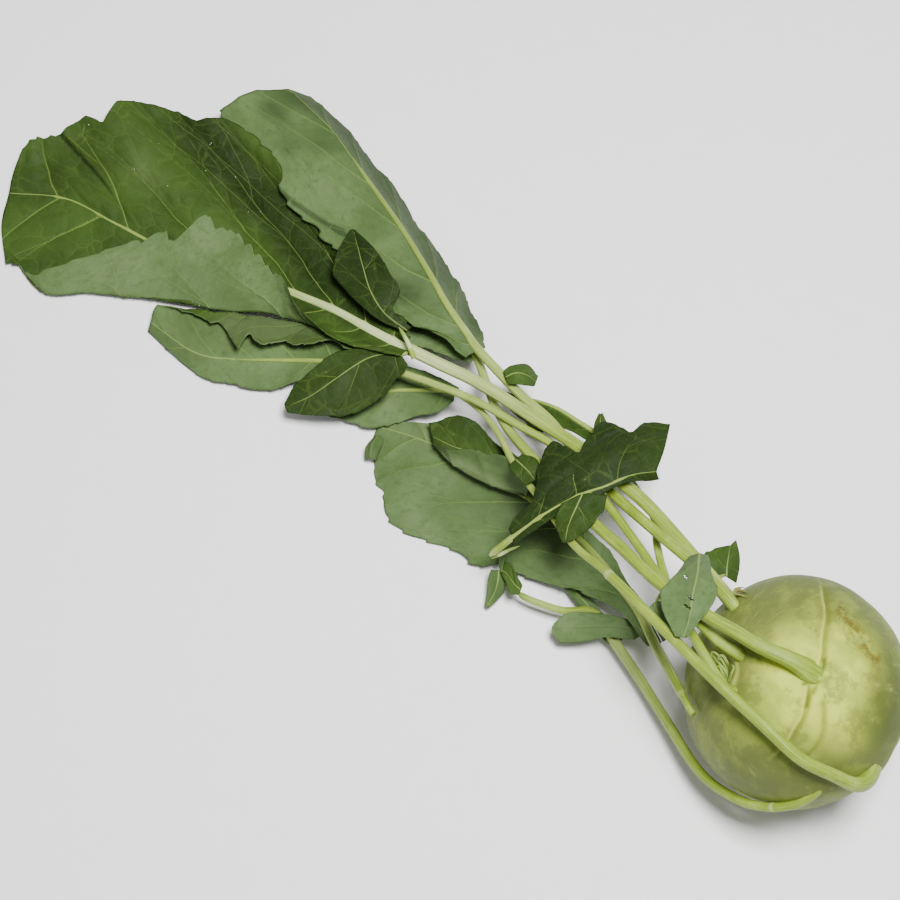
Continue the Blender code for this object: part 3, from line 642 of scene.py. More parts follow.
def between(grid, rows, columns):
    """Values of a coarse grid read at places between its points."""
    rows = np.clip(rows, 0, grid.shape[0] - 1.001)
    columns = np.clip(columns, 0, grid.shape[1] - 1.001)
    i, j = rows.astype(int), columns.astype(int)
    p, q = rows - i, columns - j
    top = grid[i, j] * (1 - q) + grid[i, j + 1] * q
    low = grid[i + 1, j] * (1 - q) + grid[i + 1, j + 1] * q
    return top * (1 - p) + low * p


def vein_phase(run, off, ribs, bend, fork=0.0, fork_from=1000.0):
    """Which two side veins a place lies between, as a number, and the gap between those veins."""
    starts, slopes = np.array(ribs).T
    grown = off[..., None]
    lines = starts + slopes * grown + bend * grown**2 + fork * np.maximum(grown - fork_from, 0.0)
    end_gap = 22.0
    lead = lines[..., :1] - end_gap
    tail = lines[..., -1:] + end_gap
    lines = np.concatenate([lead, lines, tail], axis=-1)
    lines = np.maximum.accumulate(lines, axis=-1) + 0.001 * np.arange(lines.shape[-1])
    index = np.clip((lines <= run[..., None]).sum(axis=-1) - 1, 0, lines.shape[-1] - 2)[..., None]
    low = np.take_along_axis(lines, index, -1)[..., 0]
    high = np.take_along_axis(lines, index + 1, -1)[..., 0]
    phase = np.clip((run - low) / (high - low), -0.5, 1.5)
    lean = np.sqrt(1 + (slopes.mean() + fork + 2 * bend * off) ** 2)
    return index[..., 0] + phase, (high - low) / lean


def usual_ribs(length, spacing=19.0, first=4.0, slopes=(0.75, 1.25)):
    """Side veins at even steps along the midrib, leaning further forward towards the tip."""
    count = max(2, int((length - first) / spacing))
    return [
        (first + spacing * k * (1 - 0.02 * k), slopes[0] + (slopes[1] - slopes[0]) * k / count)
        for k in range(count)
    ]


def add_sheet(name, leaf, below, cell=1.0, seed=0, teeth=1.6, puff=1.0):
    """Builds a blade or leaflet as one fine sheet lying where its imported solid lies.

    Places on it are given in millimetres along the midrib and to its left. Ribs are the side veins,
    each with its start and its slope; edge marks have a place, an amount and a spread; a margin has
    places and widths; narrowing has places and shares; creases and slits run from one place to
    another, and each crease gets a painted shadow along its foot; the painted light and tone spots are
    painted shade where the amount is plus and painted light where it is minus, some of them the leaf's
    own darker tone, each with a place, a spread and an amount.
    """
    puff_height, swell_height, vein_depth, crease_width = 0.9, 0.5, 0.35, 0.9
    over_sheet, over_table, thickness, slit_width = 0.6, 0.35, 0.5, 0.55
    vein_bend, ahead_slope, back_slope = 0.002, 0.75, -0.65
    whole = "middle" in leaf
    start = 0 if whole else leaf["blade_from"]
    route = [np.array(point, float) for point in leaf["middle" if whole else "route"]]
    middle = route[start:]
    curves = {+1: [[np.array(p, float) for p in c] for c in leaf["left"]],
              -1: [[np.array(p, float) for p in c] for c in leaf["right"]]}
    last = len(middle) - 1
    length = sum(np.linalg.norm(b - a) for a, b in zip(middle, middle[1:]))
    coarse = 5.1 if whole else 8.5
    fewest = 4 if whole else math.ceil(last / 0.75)
    cells = max(fewest, round(length / coarse))

    def widest(side):
        sections = [[middle[k]] + [curve[k] for curve in curves[side]] for k in range(len(middle))]
        return max(sum(np.linalg.norm(b - a) for a, b in zip(s, s[1:])) for s in sections)

    marks = leaf.get("edge", {})
    margins = leaf.get("margin", {})
    narrowing = leaf.get("narrowing", ((0, 1), (1, 1)))

    def row_of(place, side, shares, inset_of, teeth=0.0, marks=(), margin=()):
        along = None
        if not whole:
            along = unit(spline(route, start + place + 0.01) - spline(route, start + place - 0.01))
        inset = 0.0 if whole else inset_of(start + place)
        rib = spline(route, start + place)
        return half_row(rib, along, curves[side], place, inset, shares, length, side, seed, teeth, marks,
                        narrowing, margin)

    sides = [side for side in (+1, -1) if curves[side]]
    counts = {side: max(2, round(widest(side) / coarse)) for side in sides}
    solid_inset = lambda place: stem_radius(leaf, place) + 0.5
    coarse_rows = {}
    for side in sides:
        shares = np.linspace(0, 1, counts[side] + 1)
        rows = [row_of(last * k / cells, side, shares, solid_inset)[0] for k in range(cells + 1)]
        coarse_rows[side] = np.array(rows)
    in_order = [coarse_rows[side][:, ::-1] if side > 0 else coarse_rows[side] for side in sides]
    joined = np.concatenate(in_order, axis=1)
    if whole:
        joined = np.delete(joined, counts[1], axis=1)
    lifts = lifts_over(joined, below)
    split = counts[1] if 1 in sides else 0

    fine_cells = max(8, round(length / cell))
    places = last * np.arange(fine_cells + 1) / fine_cells
    halves = []
    for side in sides:
        fine_count = max(6, round(widest(side) / cell))
        shares = np.linspace(0, 1, fine_count + 1)
        fine_inset = lambda place: 0.75 * stem_radius(leaf, place)
        side_marks, side_margin = marks.get(side, ()), margins.get(side, ())
        rows, offs, widths = [], [], []
        for place in places:
            points, off, width = row_of(place, side, shares, fine_inset, teeth, side_marks, side_margin)
            rows.append(points)
            offs.append(off)
            widths.append(width)
        rows, offs, widths = np.array(rows), np.array(offs), np.array(widths)
        solid = np.array([0.0 if whole else solid_inset(start + place) for place in places])[:, None]
        share = np.clip((offs - solid) / np.maximum(widths[:, None] - solid, 0.1), 0, 1)
        if side > 0:
            columns = counts[side] * (1 - share)
        elif 1 in sides:
            columns = split + (0 if whole else 1) + counts[side] * share
        else:
            columns = counts[side] * share
        lift = between(lifts, np.repeat((places / last * cells)[:, None], offs.shape[1], 1), columns)
        runs = np.repeat((length * places / last)[:, None], offs.shape[1], 1)
        halves.append((side, rows, offs, widths, runs, lift))

    front = 1.0 if leaf["front"] == "upper" else -1.0
    grids, facts = [], []
    for side, rows, offs, widths, runs, lift in halves:
        order = slice(None, None, -1) if side > 0 else slice(None)
        share = offs / widths[:, None]
        stacked = np.stack([runs, offs * side, share], axis=-1)
        grids.append((rows[:, order], offs[:, order], lift[:, order], runs[:, order], share[:, order]))
        facts.append(stacked[:, order])
    if whole and len(grids) == 2:
        grids[1] = tuple(part[:, 1:] for part in grids[1])
        facts[1] = facts[1][:, 1:]
    points = np.concatenate([grid[0] for grid in grids], axis=1)
    offs = np.concatenate([grid[1] for grid in grids], axis=1)
    lift = blurred(np.concatenate([grid[2] for grid in grids], axis=1), 3)
    runs = np.concatenate([grid[3] for grid in grids], axis=1)
    share = np.concatenate([grid[4] for grid in grids], axis=1)
    facts = np.concatenate(facts, axis=1)
    if not whole:
        thick = np.array([stem_radius(leaf, start + place) for place in places])[:, None]
        room = 0.2 + 0.8 * np.maximum(offs - 0.8 * thick, 0)
        lift = np.minimum(lift, room)
    points[..., 2] += lift
    up = np.cross(np.gradient(points, axis=1), np.gradient(points, axis=0))[..., 2]
    if up[offs < 8.0].mean() < 0:
        points, offs, lift = points[:, ::-1], offs[:, ::-1], lift[:, ::-1]
        runs, share, facts = runs[:, ::-1], share[:, ::-1], facts[:, ::-1]
    signs = np.sign(facts[..., 1])

    shape = offs.shape
    wander = np.zeros(shape)
    swell = np.zeros(shape)
    for i in range(shape[0]):
        for j in range(shape[1]):
            spot = Vector((runs[i, j], facts[i, j, 1], seed * 11.0))
            wander[i, j] = 3.0 * noise.noise(spot / 24.0) + 0.8 * noise.noise(spot / 7.0)
            swell[i, j] = noise.noise(spot / 17.0) + 0.4 * noise.noise(spot / 6.0)
    veins = {}
    for side in sides:
        ribs = leaf.get("ribs", {}).get(side) or usual_ribs(length, first=4.0 if side > 0 else 12.0)
        here = signs == side if len(sides) == 2 else np.ones(shape, bool)
        reach = max(widths.max() for s, _, _, widths, _, _ in halves if s == side)
        run = runs + wander * np.clip(offs / 8.0, 0, 1)
        main = vein_phase(run, offs, ribs, vein_bend)
        ahead = vein_phase(run, offs, ribs, vein_bend, ahead_slope, 0.34 * reach)
        back = vein_phase(run, offs, ribs, vein_bend, back_slope, 0.52 * reach)
        veins[side] = (here, main, ahead, back)
    stack = np.zeros((*shape, 6))
    crease = np.zeros(shape)
    painted_light_and_tone = np.zeros(shape)
    for here, main, ahead, back in veins.values():
        for k, values in enumerate((*main, *ahead, *back)):
            stack[..., k][here] = values[here]
    for one, other, height, fade in leaf.get("creases", ()):
        line = np.array(other, float) - np.array(one, float)
        reach = np.stack([runs - one[0], facts[..., 1] - one[1]], axis=-1)
        along = (reach @ line) / (line @ line)
        apart = (reach[..., 0] * line[1] - reach[..., 1] * line[0]) / np.linalg.norm(line)
        taper = np.clip(along * 1.3 + 0.1, 0, 1)
        step = np.clip(apart / crease_width + 0.5, 0, 1) * np.exp(-np.maximum(apart, 0) / fade)
        crease = crease + height * taper * step
        # Painted shadow: a dark line along the foot of each crease's step.
        painted_light_and_tone += 1.3 * taper * np.exp(-(((apart + 0.8) / 1.0) ** 2))
    main_away = np.abs(stack[..., 0] - np.round(stack[..., 0]))
    dome = 1 - (1 - 2 * main_away) ** 2
    puffs = np.where(signs > 0, leaf.get("left_puff", puff), puff)
    puffed = puff_height * dome * np.clip(stack[..., 1] / 18, 0, 1.2) * np.clip(offs / 9, 0, 1)
    relief = puffs * (puffed + swell_height * swell * np.clip(offs / 6, 0, 1))
    vein_width = 0.9 * (1 - 0.6 * share)
    relief += crease
    relief -= vein_depth * np.exp(-((main_away * stack[..., 1] / vein_width) ** 2)) * (1 - 0.5 * share)
    down = np.gradient(points, axis=0)
    over = np.gradient(points, axis=1)
    normals = np.cross(over, down)
    normals /= np.maximum(np.linalg.norm(normals, axis=-1, keepdims=True), 1e-9)
    if not whole:
        seat = 0.5 if front > 0 else 0.15
        relief += seat * thick * np.exp(-np.maximum(offs - thick, 0) / 5.0)
    points += normals * (relief * front)[..., None]
    points[..., 2] = np.maximum(points[..., 2], over_table)
    need = np.zeros(shape)
    if sheet_faces and not leaf.get("tucked"):
        tree = BVHTree.FromPolygons([Vector(point) for point in sheet_points], sheet_faces)
        for i in range(shape[0]):
            for j in range(shape[1]):
                spot = Vector(points[i, j])
                hit, _, _, _ = tree.ray_cast(spot + Vector((0, 0, 4.0)), Vector((0, 0, -1)))
                if hit is not None:
                    need[i, j] = max(0.0, hit.z + over_sheet - spot.z)
        for _ in range(4):
            need = np.maximum(need, 0.97 * blurred(need, 1))
        points[..., 2] += need

    columns = shape[1]
    faces = []
    for i in range(shape[0] - 1):
        for j in range(columns - 1):
            corner = i * columns + j
            faces.append((corner, corner + 1, corner + columns + 1, corner + columns))
    finishes = [leaf_upper, leaf_under] if front > 0 else [leaf_under, leaf_upper]
    for s0, t0, s1, t1 in leaf.get("slits", ()):
        line = np.array([s1 - s0, t1 - t0], float)
        spots = np.stack([runs - s0, facts[..., 1] - t0], axis=-1).reshape(-1, 2)
        part = np.clip(spots @ line / (line @ line), 0, 1)
        away = np.linalg.norm(spots - part[:, None] * line, axis=1)
        faces = [face for face in faces if np.mean([away[k] for k in face]) > slit_width]
    blade = add_mesh(name, points.reshape(-1, 3), faces, finishes)
    first = len(sheet_points)
    sheet_points.extend(points.reshape(-1, 3).tolist())
    sheet_faces.extend(tuple(first + k for k in face) for face in faces)
    store(blade.data, "blade", facts.reshape(-1, 3))
    store(blade.data, "veins", stack[..., :3].reshape(-1, 3))
    store(blade.data, "forks", stack[..., 3:].reshape(-1, 3))
    for s, t, spread, amount in leaf.get("painted_light_and_tone_spots", ()):
        # Painted shade where the amount is plus and painted light where it is minus, partly the leaf's own
        # tone.
        painted_light_and_tone += amount * np.exp(-(((runs - s) ** 2 + (facts[..., 1] - t) ** 2) / spread**2))
    half = np.full(shape, leaf.get("vein_size", max(widest(side) for side in sides) / 30.0))
    store(blade.data, "tint", np.stack([painted_light_and_tone, runs / length, half], axis=-1).reshape(-1, 3))
    thicken = blade.modifiers.new("blade thickness", "SOLIDIFY")
    thicken.thickness = thickness * mm
    thicken.offset = 0.0
    thicken.material_offset = 1
    thicken.use_rim = True
    "leaf_upper" if front > 0 else "leaf_under"
    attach(blade, "root")
    return blade


def vein_masks(tone):
    """Where the midvein, side veins, forks and net of fine veins run, each from 0 to 1."""
    run, off, share = tone.stored("blade")
    phase, gap, ahead = tone.stored("veins")
    ahead_gap, back, back_gap = tone.stored("forks")
    painted_light_and_tone, grown, half = tone.stored("tint")

    def away(number, spacing):
        return (number - number.maths("ROUND", number)).absolute() * spacing

    flat = tone.vector(run * 0.1, off * 0.1, 0.0)
    bent = tone.node("ShaderNodeTexNoise", {}, {"Vector": flat, "Scale": 1.3, "Detail": 3.0}, "Color")
    push = {0: bent, 1: (0.45, 0.45, 0.0), 2: flat}
    pushed = tone.node("ShaderNodeVectorMath", {"operation": "MULTIPLY_ADD"}, push)
    size = half.least(1.3) * 0.6 + 0.25
    side_width = (0.44 - 0.34 * share) * size * (1.0 - 0.55 * grown)
    side = away(phase, gap).step(side_width * 1.5, side_width * 0.3) * (1.0 - 0.6 * share)
    side = side * (half.least(1.0) * 0.6 + 0.4) * (1.0 - 0.4 * grown)
    fork_width = (0.3 - 0.14 * share) * size
    fork = away(ahead, ahead_gap).step(fork_width * 1.6, fork_width * 0.3)
    fork = fork.most(away(back, back_gap).step(fork_width * 1.6, fork_width * 0.3))
    edges = tone.cells(pushed, 1.05)
    net = edges.step(0.04, 0.01) * tone.clouds(flat, 0.8, 2.0).step(0.3, 0.7)
    quilt = edges.step(0.0, 0.3)
    fine = tone.cells(pushed, 3.1).step(0.07, 0.02)
    middle_width = (1.0 - 0.75 * grown) * (half.least(1.0) * 0.5 + 0.3)
    middle = off.absolute().step(middle_width, middle_width * 0.4)
    return flat, painted_light_and_tone, side, fork, net, quilt, fine, middle


# The blade's upper side: deep green under a faint wax, with pale veins and a few light specks. The
# fields between the veins stand up a little.
leaf_upper, surface, tone = start_finish("leaf upper side", Specular_IOR_Level=0.1)
flat, painted_light_and_tone, side, fork, net, quilt, fine, middle = vein_masks(tone)
broad = tone.clouds(tone.place(), 30.0, 3.0, 0.55)
mottle = tone.clouds(flat, 2.2, 5.0, 0.6)
specks = tone.cells(flat, 4.5, "F1").step(0.1, 0.05) * tone.clouds(flat, 0.9).step(0.6, 0.68)
green = layered(
    broad.step(0.32, 0.68).blend(srgb(40, 58, 20), srgb(53, 75, 27)),
    (mottle.step(0.45, 0.8), 0.4, (58, 80, 26)),
    # Painted shade and painted light from the spots and crease lines, partly the leaf's own tone.
    (painted_light_and_tone.step(0.0, 1.0), 0.75, (17, 30, 8)),
    (painted_light_and_tone.step(0.0, -1.0), 0.7, (82, 97, 62)),
    (fine, 0.06, (80, 104, 40)),
    (net, 0.16, (90, 112, 46)),
    (fork, 0.26, (104, 128, 56)),
    (side, 0.6, (118, 140, 66)),
    (middle, 0.7, (132, 152, 80)),
    (specks, 1.0, (206, 214, 190)),
)
feed(surface, Base_Color=green, Roughness=0.52 + 0.16 * mottle)
grooves = quilt * 0.7 - fork * 0.3 - side * 0.4 - fine * 0.05 + tone.clouds(flat, 3.0, 4.0, 0.6) * 0.8
feed(surface, Normal=tone.bump(grooves, 0.0008, 0.5))

# The blade's underside: grey-green and dull from its thick wax, which is rubbed off in blotches. The
# veins stand out on it.
leaf_under, surface, tone = start_finish("leaf underside", Specular_IOR_Level=0.2)
flat, painted_light_and_tone, side, fork, net, quilt, fine, middle = vein_masks(tone)
broad = tone.clouds(tone.place(), 34.0, 3.0, 0.55)
mottle = tone.clouds(flat, 2.6, 5.0, 0.65)
blotches = tone.clouds(flat, 5.5, 6.0, 0.7).step(0.56, 0.66) * tone.clouds(flat, 0.7, 2.0).step(0.46, 0.6)
grey = layered(
    broad.step(0.32, 0.68).blend(srgb(66, 87, 44), srgb(84, 106, 62)),
    (mottle.step(0.46, 0.72), 0.55, (58, 80, 38)),
    # Painted shade and painted light from the spots and crease lines, partly the leaf's own tone.
    (painted_light_and_tone.step(0.0, 1.0), 0.75, (34, 48, 22)),
    (painted_light_and_tone.step(0.0, -1.0), 0.6, (108, 128, 84)),
    (blotches, 0.5, (44, 58, 26)),
    (fine, 0.1, (54, 74, 34)),
    (net, 0.2, (52, 72, 32)),
    (fork, 0.3, (92, 118, 58)),
    (side, 0.55, (108, 132, 66)),
    (middle, 0.7, (124, 146, 70)),
)
feed(surface, Base_Color=grey, Roughness=0.58 + 0.14 * mottle)
ridges_up = quilt * -0.3 + side * 0.4 + fork * 0.3 + tone.clouds(flat, 3.0, 4.0, 0.6) * 0.8
feed(surface, Normal=tone.bump(ridges_up, 0.0008, 0.5))

all_stalks = [f"leaf_{number}_stalk" for number in range(1, 9)] + ["broken_leaf_stalk", "leaf_7_branch"]
laid = []


def grow_leaf(name, leaf, finish, seed, flare=0.4, stop=0.35, puff=1.0):
    """One leaf: its stalk with the midrib, and its blade over the leaves and stalks that lie below."""
    stem = add_stem(f"{name}_stem", leaf, finish, flare=flare, stop=stop, seed=seed)
    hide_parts(f"{name}_stalk")
    others = [stalk for stalk in all_stalks if not stalk.startswith(name)]
    blade = add_sheet(f"{name}_sheet", leaf, trees_of(*laid, *others), seed=seed, puff=puff)
    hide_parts(f"{name}_blade")
    laid.append(f"{name}_blade")


# Leaf 7, the lowest: a thin stalk that leaves the bulb's far side, bends round it and runs flat along the
# table into a narrow midrib. Its blade is small and lies with the underside up.
leaf_7 = {
    "route": [
        (-24, 26, 56), (-24.5, 32, 54), (-20.5, 38.5, 47), (-12, 43, 38), (-1, 44, 29), (15, 40, 19),
        (36, 28, 13), (52, 19, 10), (68, 11, 9), (79, 5, 7), (91, 1, 6), (103, -2, 5), (118, -4, 3),
        (133, -5, 2),
    ],
    "blade_from": 8,
    "radii": (1.5, 2.1, 0.6),
    "left": [[(70, 13, 8), (77, 16, 6), (91, 16, 3), (100, 8, 2), (111, 6, 2), (130, 0, 1)]],
    "right": [[(66, 8, 9), (63, 0, 10), (81, -8, 7), (98, -12, 5), (115, -14, 4), (134, -10, 3)]],
    "front": "under",
    "narrowing": ((0, 8, 18, 68), (0.6, 0.35, 0.12, 0.1)),
    "node": (2.75, 0.0),
}
grow_leaf("leaf_7", leaf_7, green_stem, seed=0, flare=0.2, stop=3.7)

# Leaf 6: a broad, toothed leaf lying underside up, so that its veins stand out. Its stalk has half
# torn away from the bulb, and only a thin strip of it still holds.
leaf_6 = {
    "route": [
        (27.5, 30, 50), (31, 27.6, 48.5), (39, 21, 42), (53, 9, 28), (65, 0, 24), (76, -6, 20),
        (89, -12, 17), (103, -17, 14), (118, -20, 12), (137, -22, 10), (160, -23, 8), (181, -21, 5),
        (197, -18, 2),
    ],
    "blade_from": 3,
    "radii": (1.2, 1.5, 0.43),
    "left": [[
        (56, 10, 26), (71, 2, 17), (86, 1, 10), (100, 3, 7), (122, 7, 5), (131, 10, 3), (152, 13, 2),
        (174, 12, 1), (185, 1, 1), (196, -11, 1),
    ]],
    "right": [[
        (52, 6, 27), (67, -5, 22), (76, -10, 19), (90, -19, 16), (103, -22, 14), (117, -26, 13),
        (138, -33, 11), (164, -34, 9), (182, -27, 7), (195, -21, 5),
    ]],
    "front": "under",
    "node": (1.5, -0.35),
    "ribs": {
        +1: [(6, 0.9), (28, 1.0), (52, 1.0), (74, 0.9), (92, 0.85), (118, 0.8), (136, 0.6)],
        -1: [(14, 0.9), (38, 1.0), (62, 1.0), (86, 0.9), (110, 0.8)],
    },
    "painted_light_and_tone_spots": [
        (61, 8, 14, 0.4), (78, 8, 14, 0.6), (92, 4, 12, 0.5), (110, 20, 16, 0.15), (72, 18, 8, -0.3),
        (130, 2, 14, 0.2),
    ],
}
grow_leaf("leaf_6", leaf_6, green_stem, seed=1, flare=0.1, stop=1.5)

# Leaf 7's leaflet: a small lobe that grows from the stalk below the blade. It is bent over, with its
# grey-green underside up and the other stalks lying across it.
def grow_leaflet(name, leaflet, seed):
    """One leaflet, laid over all the stalks and the leaves that lie below."""
    blade = add_sheet(f"{name}_sheet", leaflet, trees_of(*laid, *all_stalks), cell=0.8, seed=seed, teeth=1.0)
    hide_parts(name)
    laid.append(name)


leaf_7_leaflet = {
    "middle": [(122, 10, 9), (120, 14, 9), (119, 18, 7), (119, 24, 4)],
    "left": [[(125, 11, 8), (124, 14, 7), (122, 19, 5), (120, 24, 4)]],
    "right": [[(119, 9, 8), (117, 12, 8), (116, 16, 6), (118, 24, 4)]],
    "front": "under",
}
grow_leaflet("leaf_7_leaflet", leaf_7_leaflet, seed=2)

# Leaf 6's leaflet: a dark lobe grown from the stalk and lying on the big blade. Its left edge has
# rolled over, so that a strip of the paler underside shows.
leaf_6_leaflet = {
    "middle": [(134, -26, 24), (144, -26, 20), (154, -25, 17), (163, -23, 15), (174, -23, 12)],
    "left": [
        [(128, -19, 18), (138, -17, 15), (151, -16, 13), (162, -17, 12), (171, -20, 11)],
        [(128, -22, 25), (140, -25.5, 25.5), (152, -25, 23.5), (161, -20, 20), (171, -18.5, 15.5)],
    ],
    "right": [[(137, -28, 24), (150, -32, 20), (160, -35, 17), (170, -35, 14), (178, -27, 12)]],
    "front": "upper",
    "painted_light_and_tone_spots": [(20, -4, 60, 0.6), (8, 9, 8, -1.8), (22, 9, 9, -1.8), (34, 6, 7, -1.4)],
    "vein_size": 0.3,
}
grow_leaflet("leaf_6_leaflet", leaf_6_leaflet, seed=3)

# Leaf 8: a small dark leaf mostly hidden below the other stalks. Its slender stalk crosses under
# them from the bulb's crown.
leaf_8 = {
    "route": [
        (17, 19, 66), (21, 21, 69), (27, 18, 69), (37, 12, 68), (45, 6, 63), (54, -2, 55), (63, -11, 48),
        (72, -22, 42), (78, -31, 39), (90, -39, 36), (104, -47, 31), (115, -53, 28), (126, -55, 25),
        (136, -56, 23), (147, -55, 20), (157, -54, 17),
    ],
    "blade_from": 11,
    "radii": (2.0, 1.2, 0.5),
    "left": [[(118, -50, 25), (129, -51, 20), (137, -48, 14), (147, -49, 12), (158, -51, 13)]],
    "right": [],
    "front": "upper",
}
grow_leaf("leaf_8", leaf_8, green_stem, seed=4, flare=0.3)

# Leaf 5: a long stalk that leaves the bulb at its right, bends over it, and has a pale scar ring
# halfway. Its small blade lies underside up below the larger leaves.
leaf_5 = {
    "route": [
        (-29, 0, 48), (-34.5, 6, 50), (-37.5, 13, 52), (-37.5, 20, 56), (-34, 24.5, 61), (-27, 27, 67),
        (-13, 30, 74), (5, 27, 77), (27, 22, 77), (53, 13, 69), (80, 2, 55), (98, -4, 45), (117, -14, 38),
        (136, -24, 31), (149, -33, 27), (161, -39, 23), (175, -42, 17), (185, -39, 13), (196, -34, 9),
        (206, -27, 7), (214, -20, 6), (221, -14, 5),
    ],
    "blade_from": 16,
    "radii": (2.7, 1.4, 0.5),
    "left": [[(174, -39, 16), (179, -32, 10), (190, -22, 6), (200, -15, 4), (208, -12, 4), (219, -10, 4)]],
    "right": [[(175, -45, 17), (189, -47, 11), (203, -42, 9), (214, -33, 8), (221, -24, 6), (224, -18, 5)]],
    "front": "under",
    "node": (10.0, 0.2),
    "foot_reach": 5.0,
}
grow_leaf("leaf_5", leaf_5, green_stem, seed=5, flare=1.5)

# Leaf 5's leaflet: a small dark lobe at the end of the stalk, turned with its upper side out. It is
# one thin sheet without a stalk of its own.
leaf_5_leaflet = {
    "middle": [(136, -24, 38), (130, -22, 40), (125, -20, 39)],
    "left": [[(137, -21, 36), (132, -18, 37), (127, -17, 36)]],
    "right": [[(135, -27, 37), (129, -28, 38), (124, -24, 38)]],
    "front": "upper",
}
grow_leaflet("leaf_5_leaflet", leaf_5_leaflet, seed=6)

# Leaf 4: the stalk that grows from the very top of the bulb, with the widest foot. It runs under the
# broken leaf to a blade that lies below the others.
leaf_4 = {
    "route": [
        (-5, 1, 75), (-2.5, 2.5, 80.2), (7, 3.6, 84.5), (19, 5, 84), (29, 4, 81), (41, 3, 77), (61, -1, 68),
        (82, -9, 57), (96, -14, 50), (112, -20, 43), (126, -27, 36), (139, -33, 30), (149, -38, 26),
        (160, -46, 22), (176, -60, 17), (188, -66, 13), (201, -72, 11), (216, -80, 9), (230, -87, 8),
        (247, -97, 6),
    ],
    "blade_from": 14,
    "radii": (2.8, 1.7, 0.5),
    "left": [[(177, -57, 17), (194, -54, 13), (208, -53, 11), (223, -62, 8), (236, -76, 7), (247, -91, 5)]],
    "right": [[
        (175, -63, 15), (184, -72, 10), (199, -80, 7), (213, -87, 6), (230, -94, 5), (246, -101, 5),
    ]],
    "front": "under",
}
grow_leaf("leaf_4", leaf_4, green_stem, seed=7, flare=0.6)

# Leaf 3: a long leaf lying underside up. Its right edge has rolled over into a ragged flap that
# shows the dark upper side.
leaf_3 = {
    "route": [
        (17, 6.5, 66), (23, 7.5, 70.5), (31, 7.7, 71.7), (40, 5.2, 70), (51, 1, 66), (62, -5, 60),
        (79, -16, 50), (97, -26, 42), (112, -32, 38), (127, -38, 34), (143, -39, 31), (162, -40, 28),
        (180, -39, 24), (199, -37, 19), (215, -33, 14), (230, -27, 11), (245, -19, 9), (261, -10, 8),
        (277, -4, 7), (301, -6, 5),
    ],
    "blade_from": 13,
    "radii": (1.9, 1.5, 0.5),
    "left": [[
        (199, -34, 18), (215, -27, 11), (228, -20, 8), (241, -9, 5), (257, -1, 3), (276, 2, 2),
        (301, -3, 2),
    ]],
    "right": [
        [
            (199, -40, 18), (217, -40, 14), (235, -40, 10), (252, -35, 8), (270, -28, 7), (284, -21, 6),
            (303, -11, 5),
        ],
        [
            (198, -39, 21), (216, -37, 18), (232, -32, 17), (247, -23, 15), (262, -17, 13), (281, -18, 9),
            (303, -14, 6),
        ],
    ],
    "front": "under",
    "painted_light_and_tone_spots": [
        (96, -12, 10, 0.3), (79, -30, 16, -0.7), (60, -22, 14, -0.7), (40, -16, 12, -0.7),
        (60, 8, 20, 0.15), (30, 6, 16, 0.15), (100, 4, 10, -0.1),
    ],
    "edge": {
        -1: [
            (76, 3.5, 2.5), (70, -3.5, 2.5), (62, 3.0, 3.0), (52, -3.0, 3.0), (90, 2.5, 3.0),
            (40, 2.5, 3.0),
        ],
    },
}
grow_leaf("leaf_3", leaf_3, green_stem, seed=8, flare=0.3, stop=2.0)

# Leaf 1's near lobe: a dark oval lobe grown from the foot of the largest blade, upper side up. It
# hangs by its own midvein over the stalks.
leaf_1_near_lobe = {
    "middle": [
        (200, -42, 24), (207, -39, 23), (213, -33, 21), (219, -21, 18), (224, -11, 15), (231, -2, 12),
    ],
    "left": [[
        (196, -40, 24), (196, -35, 23), (198, -27, 18), (207, -14, 13), (217, -6, 11), (229, -1, 11),
    ]],
    "right": [[
        (204, -42, 23), (214, -38, 22), (223, -32, 18), (229, -24, 15), (232, -13, 13), (232, -3, 12),
    ]],
    "front": "upper",
    "painted_light_and_tone_spots": [(20, 0, 60, 0.65)],
    "vein_size": 0.35,
}
grow_leaflet("leaf_1_near_lobe", leaf_1_near_lobe, seed=9)

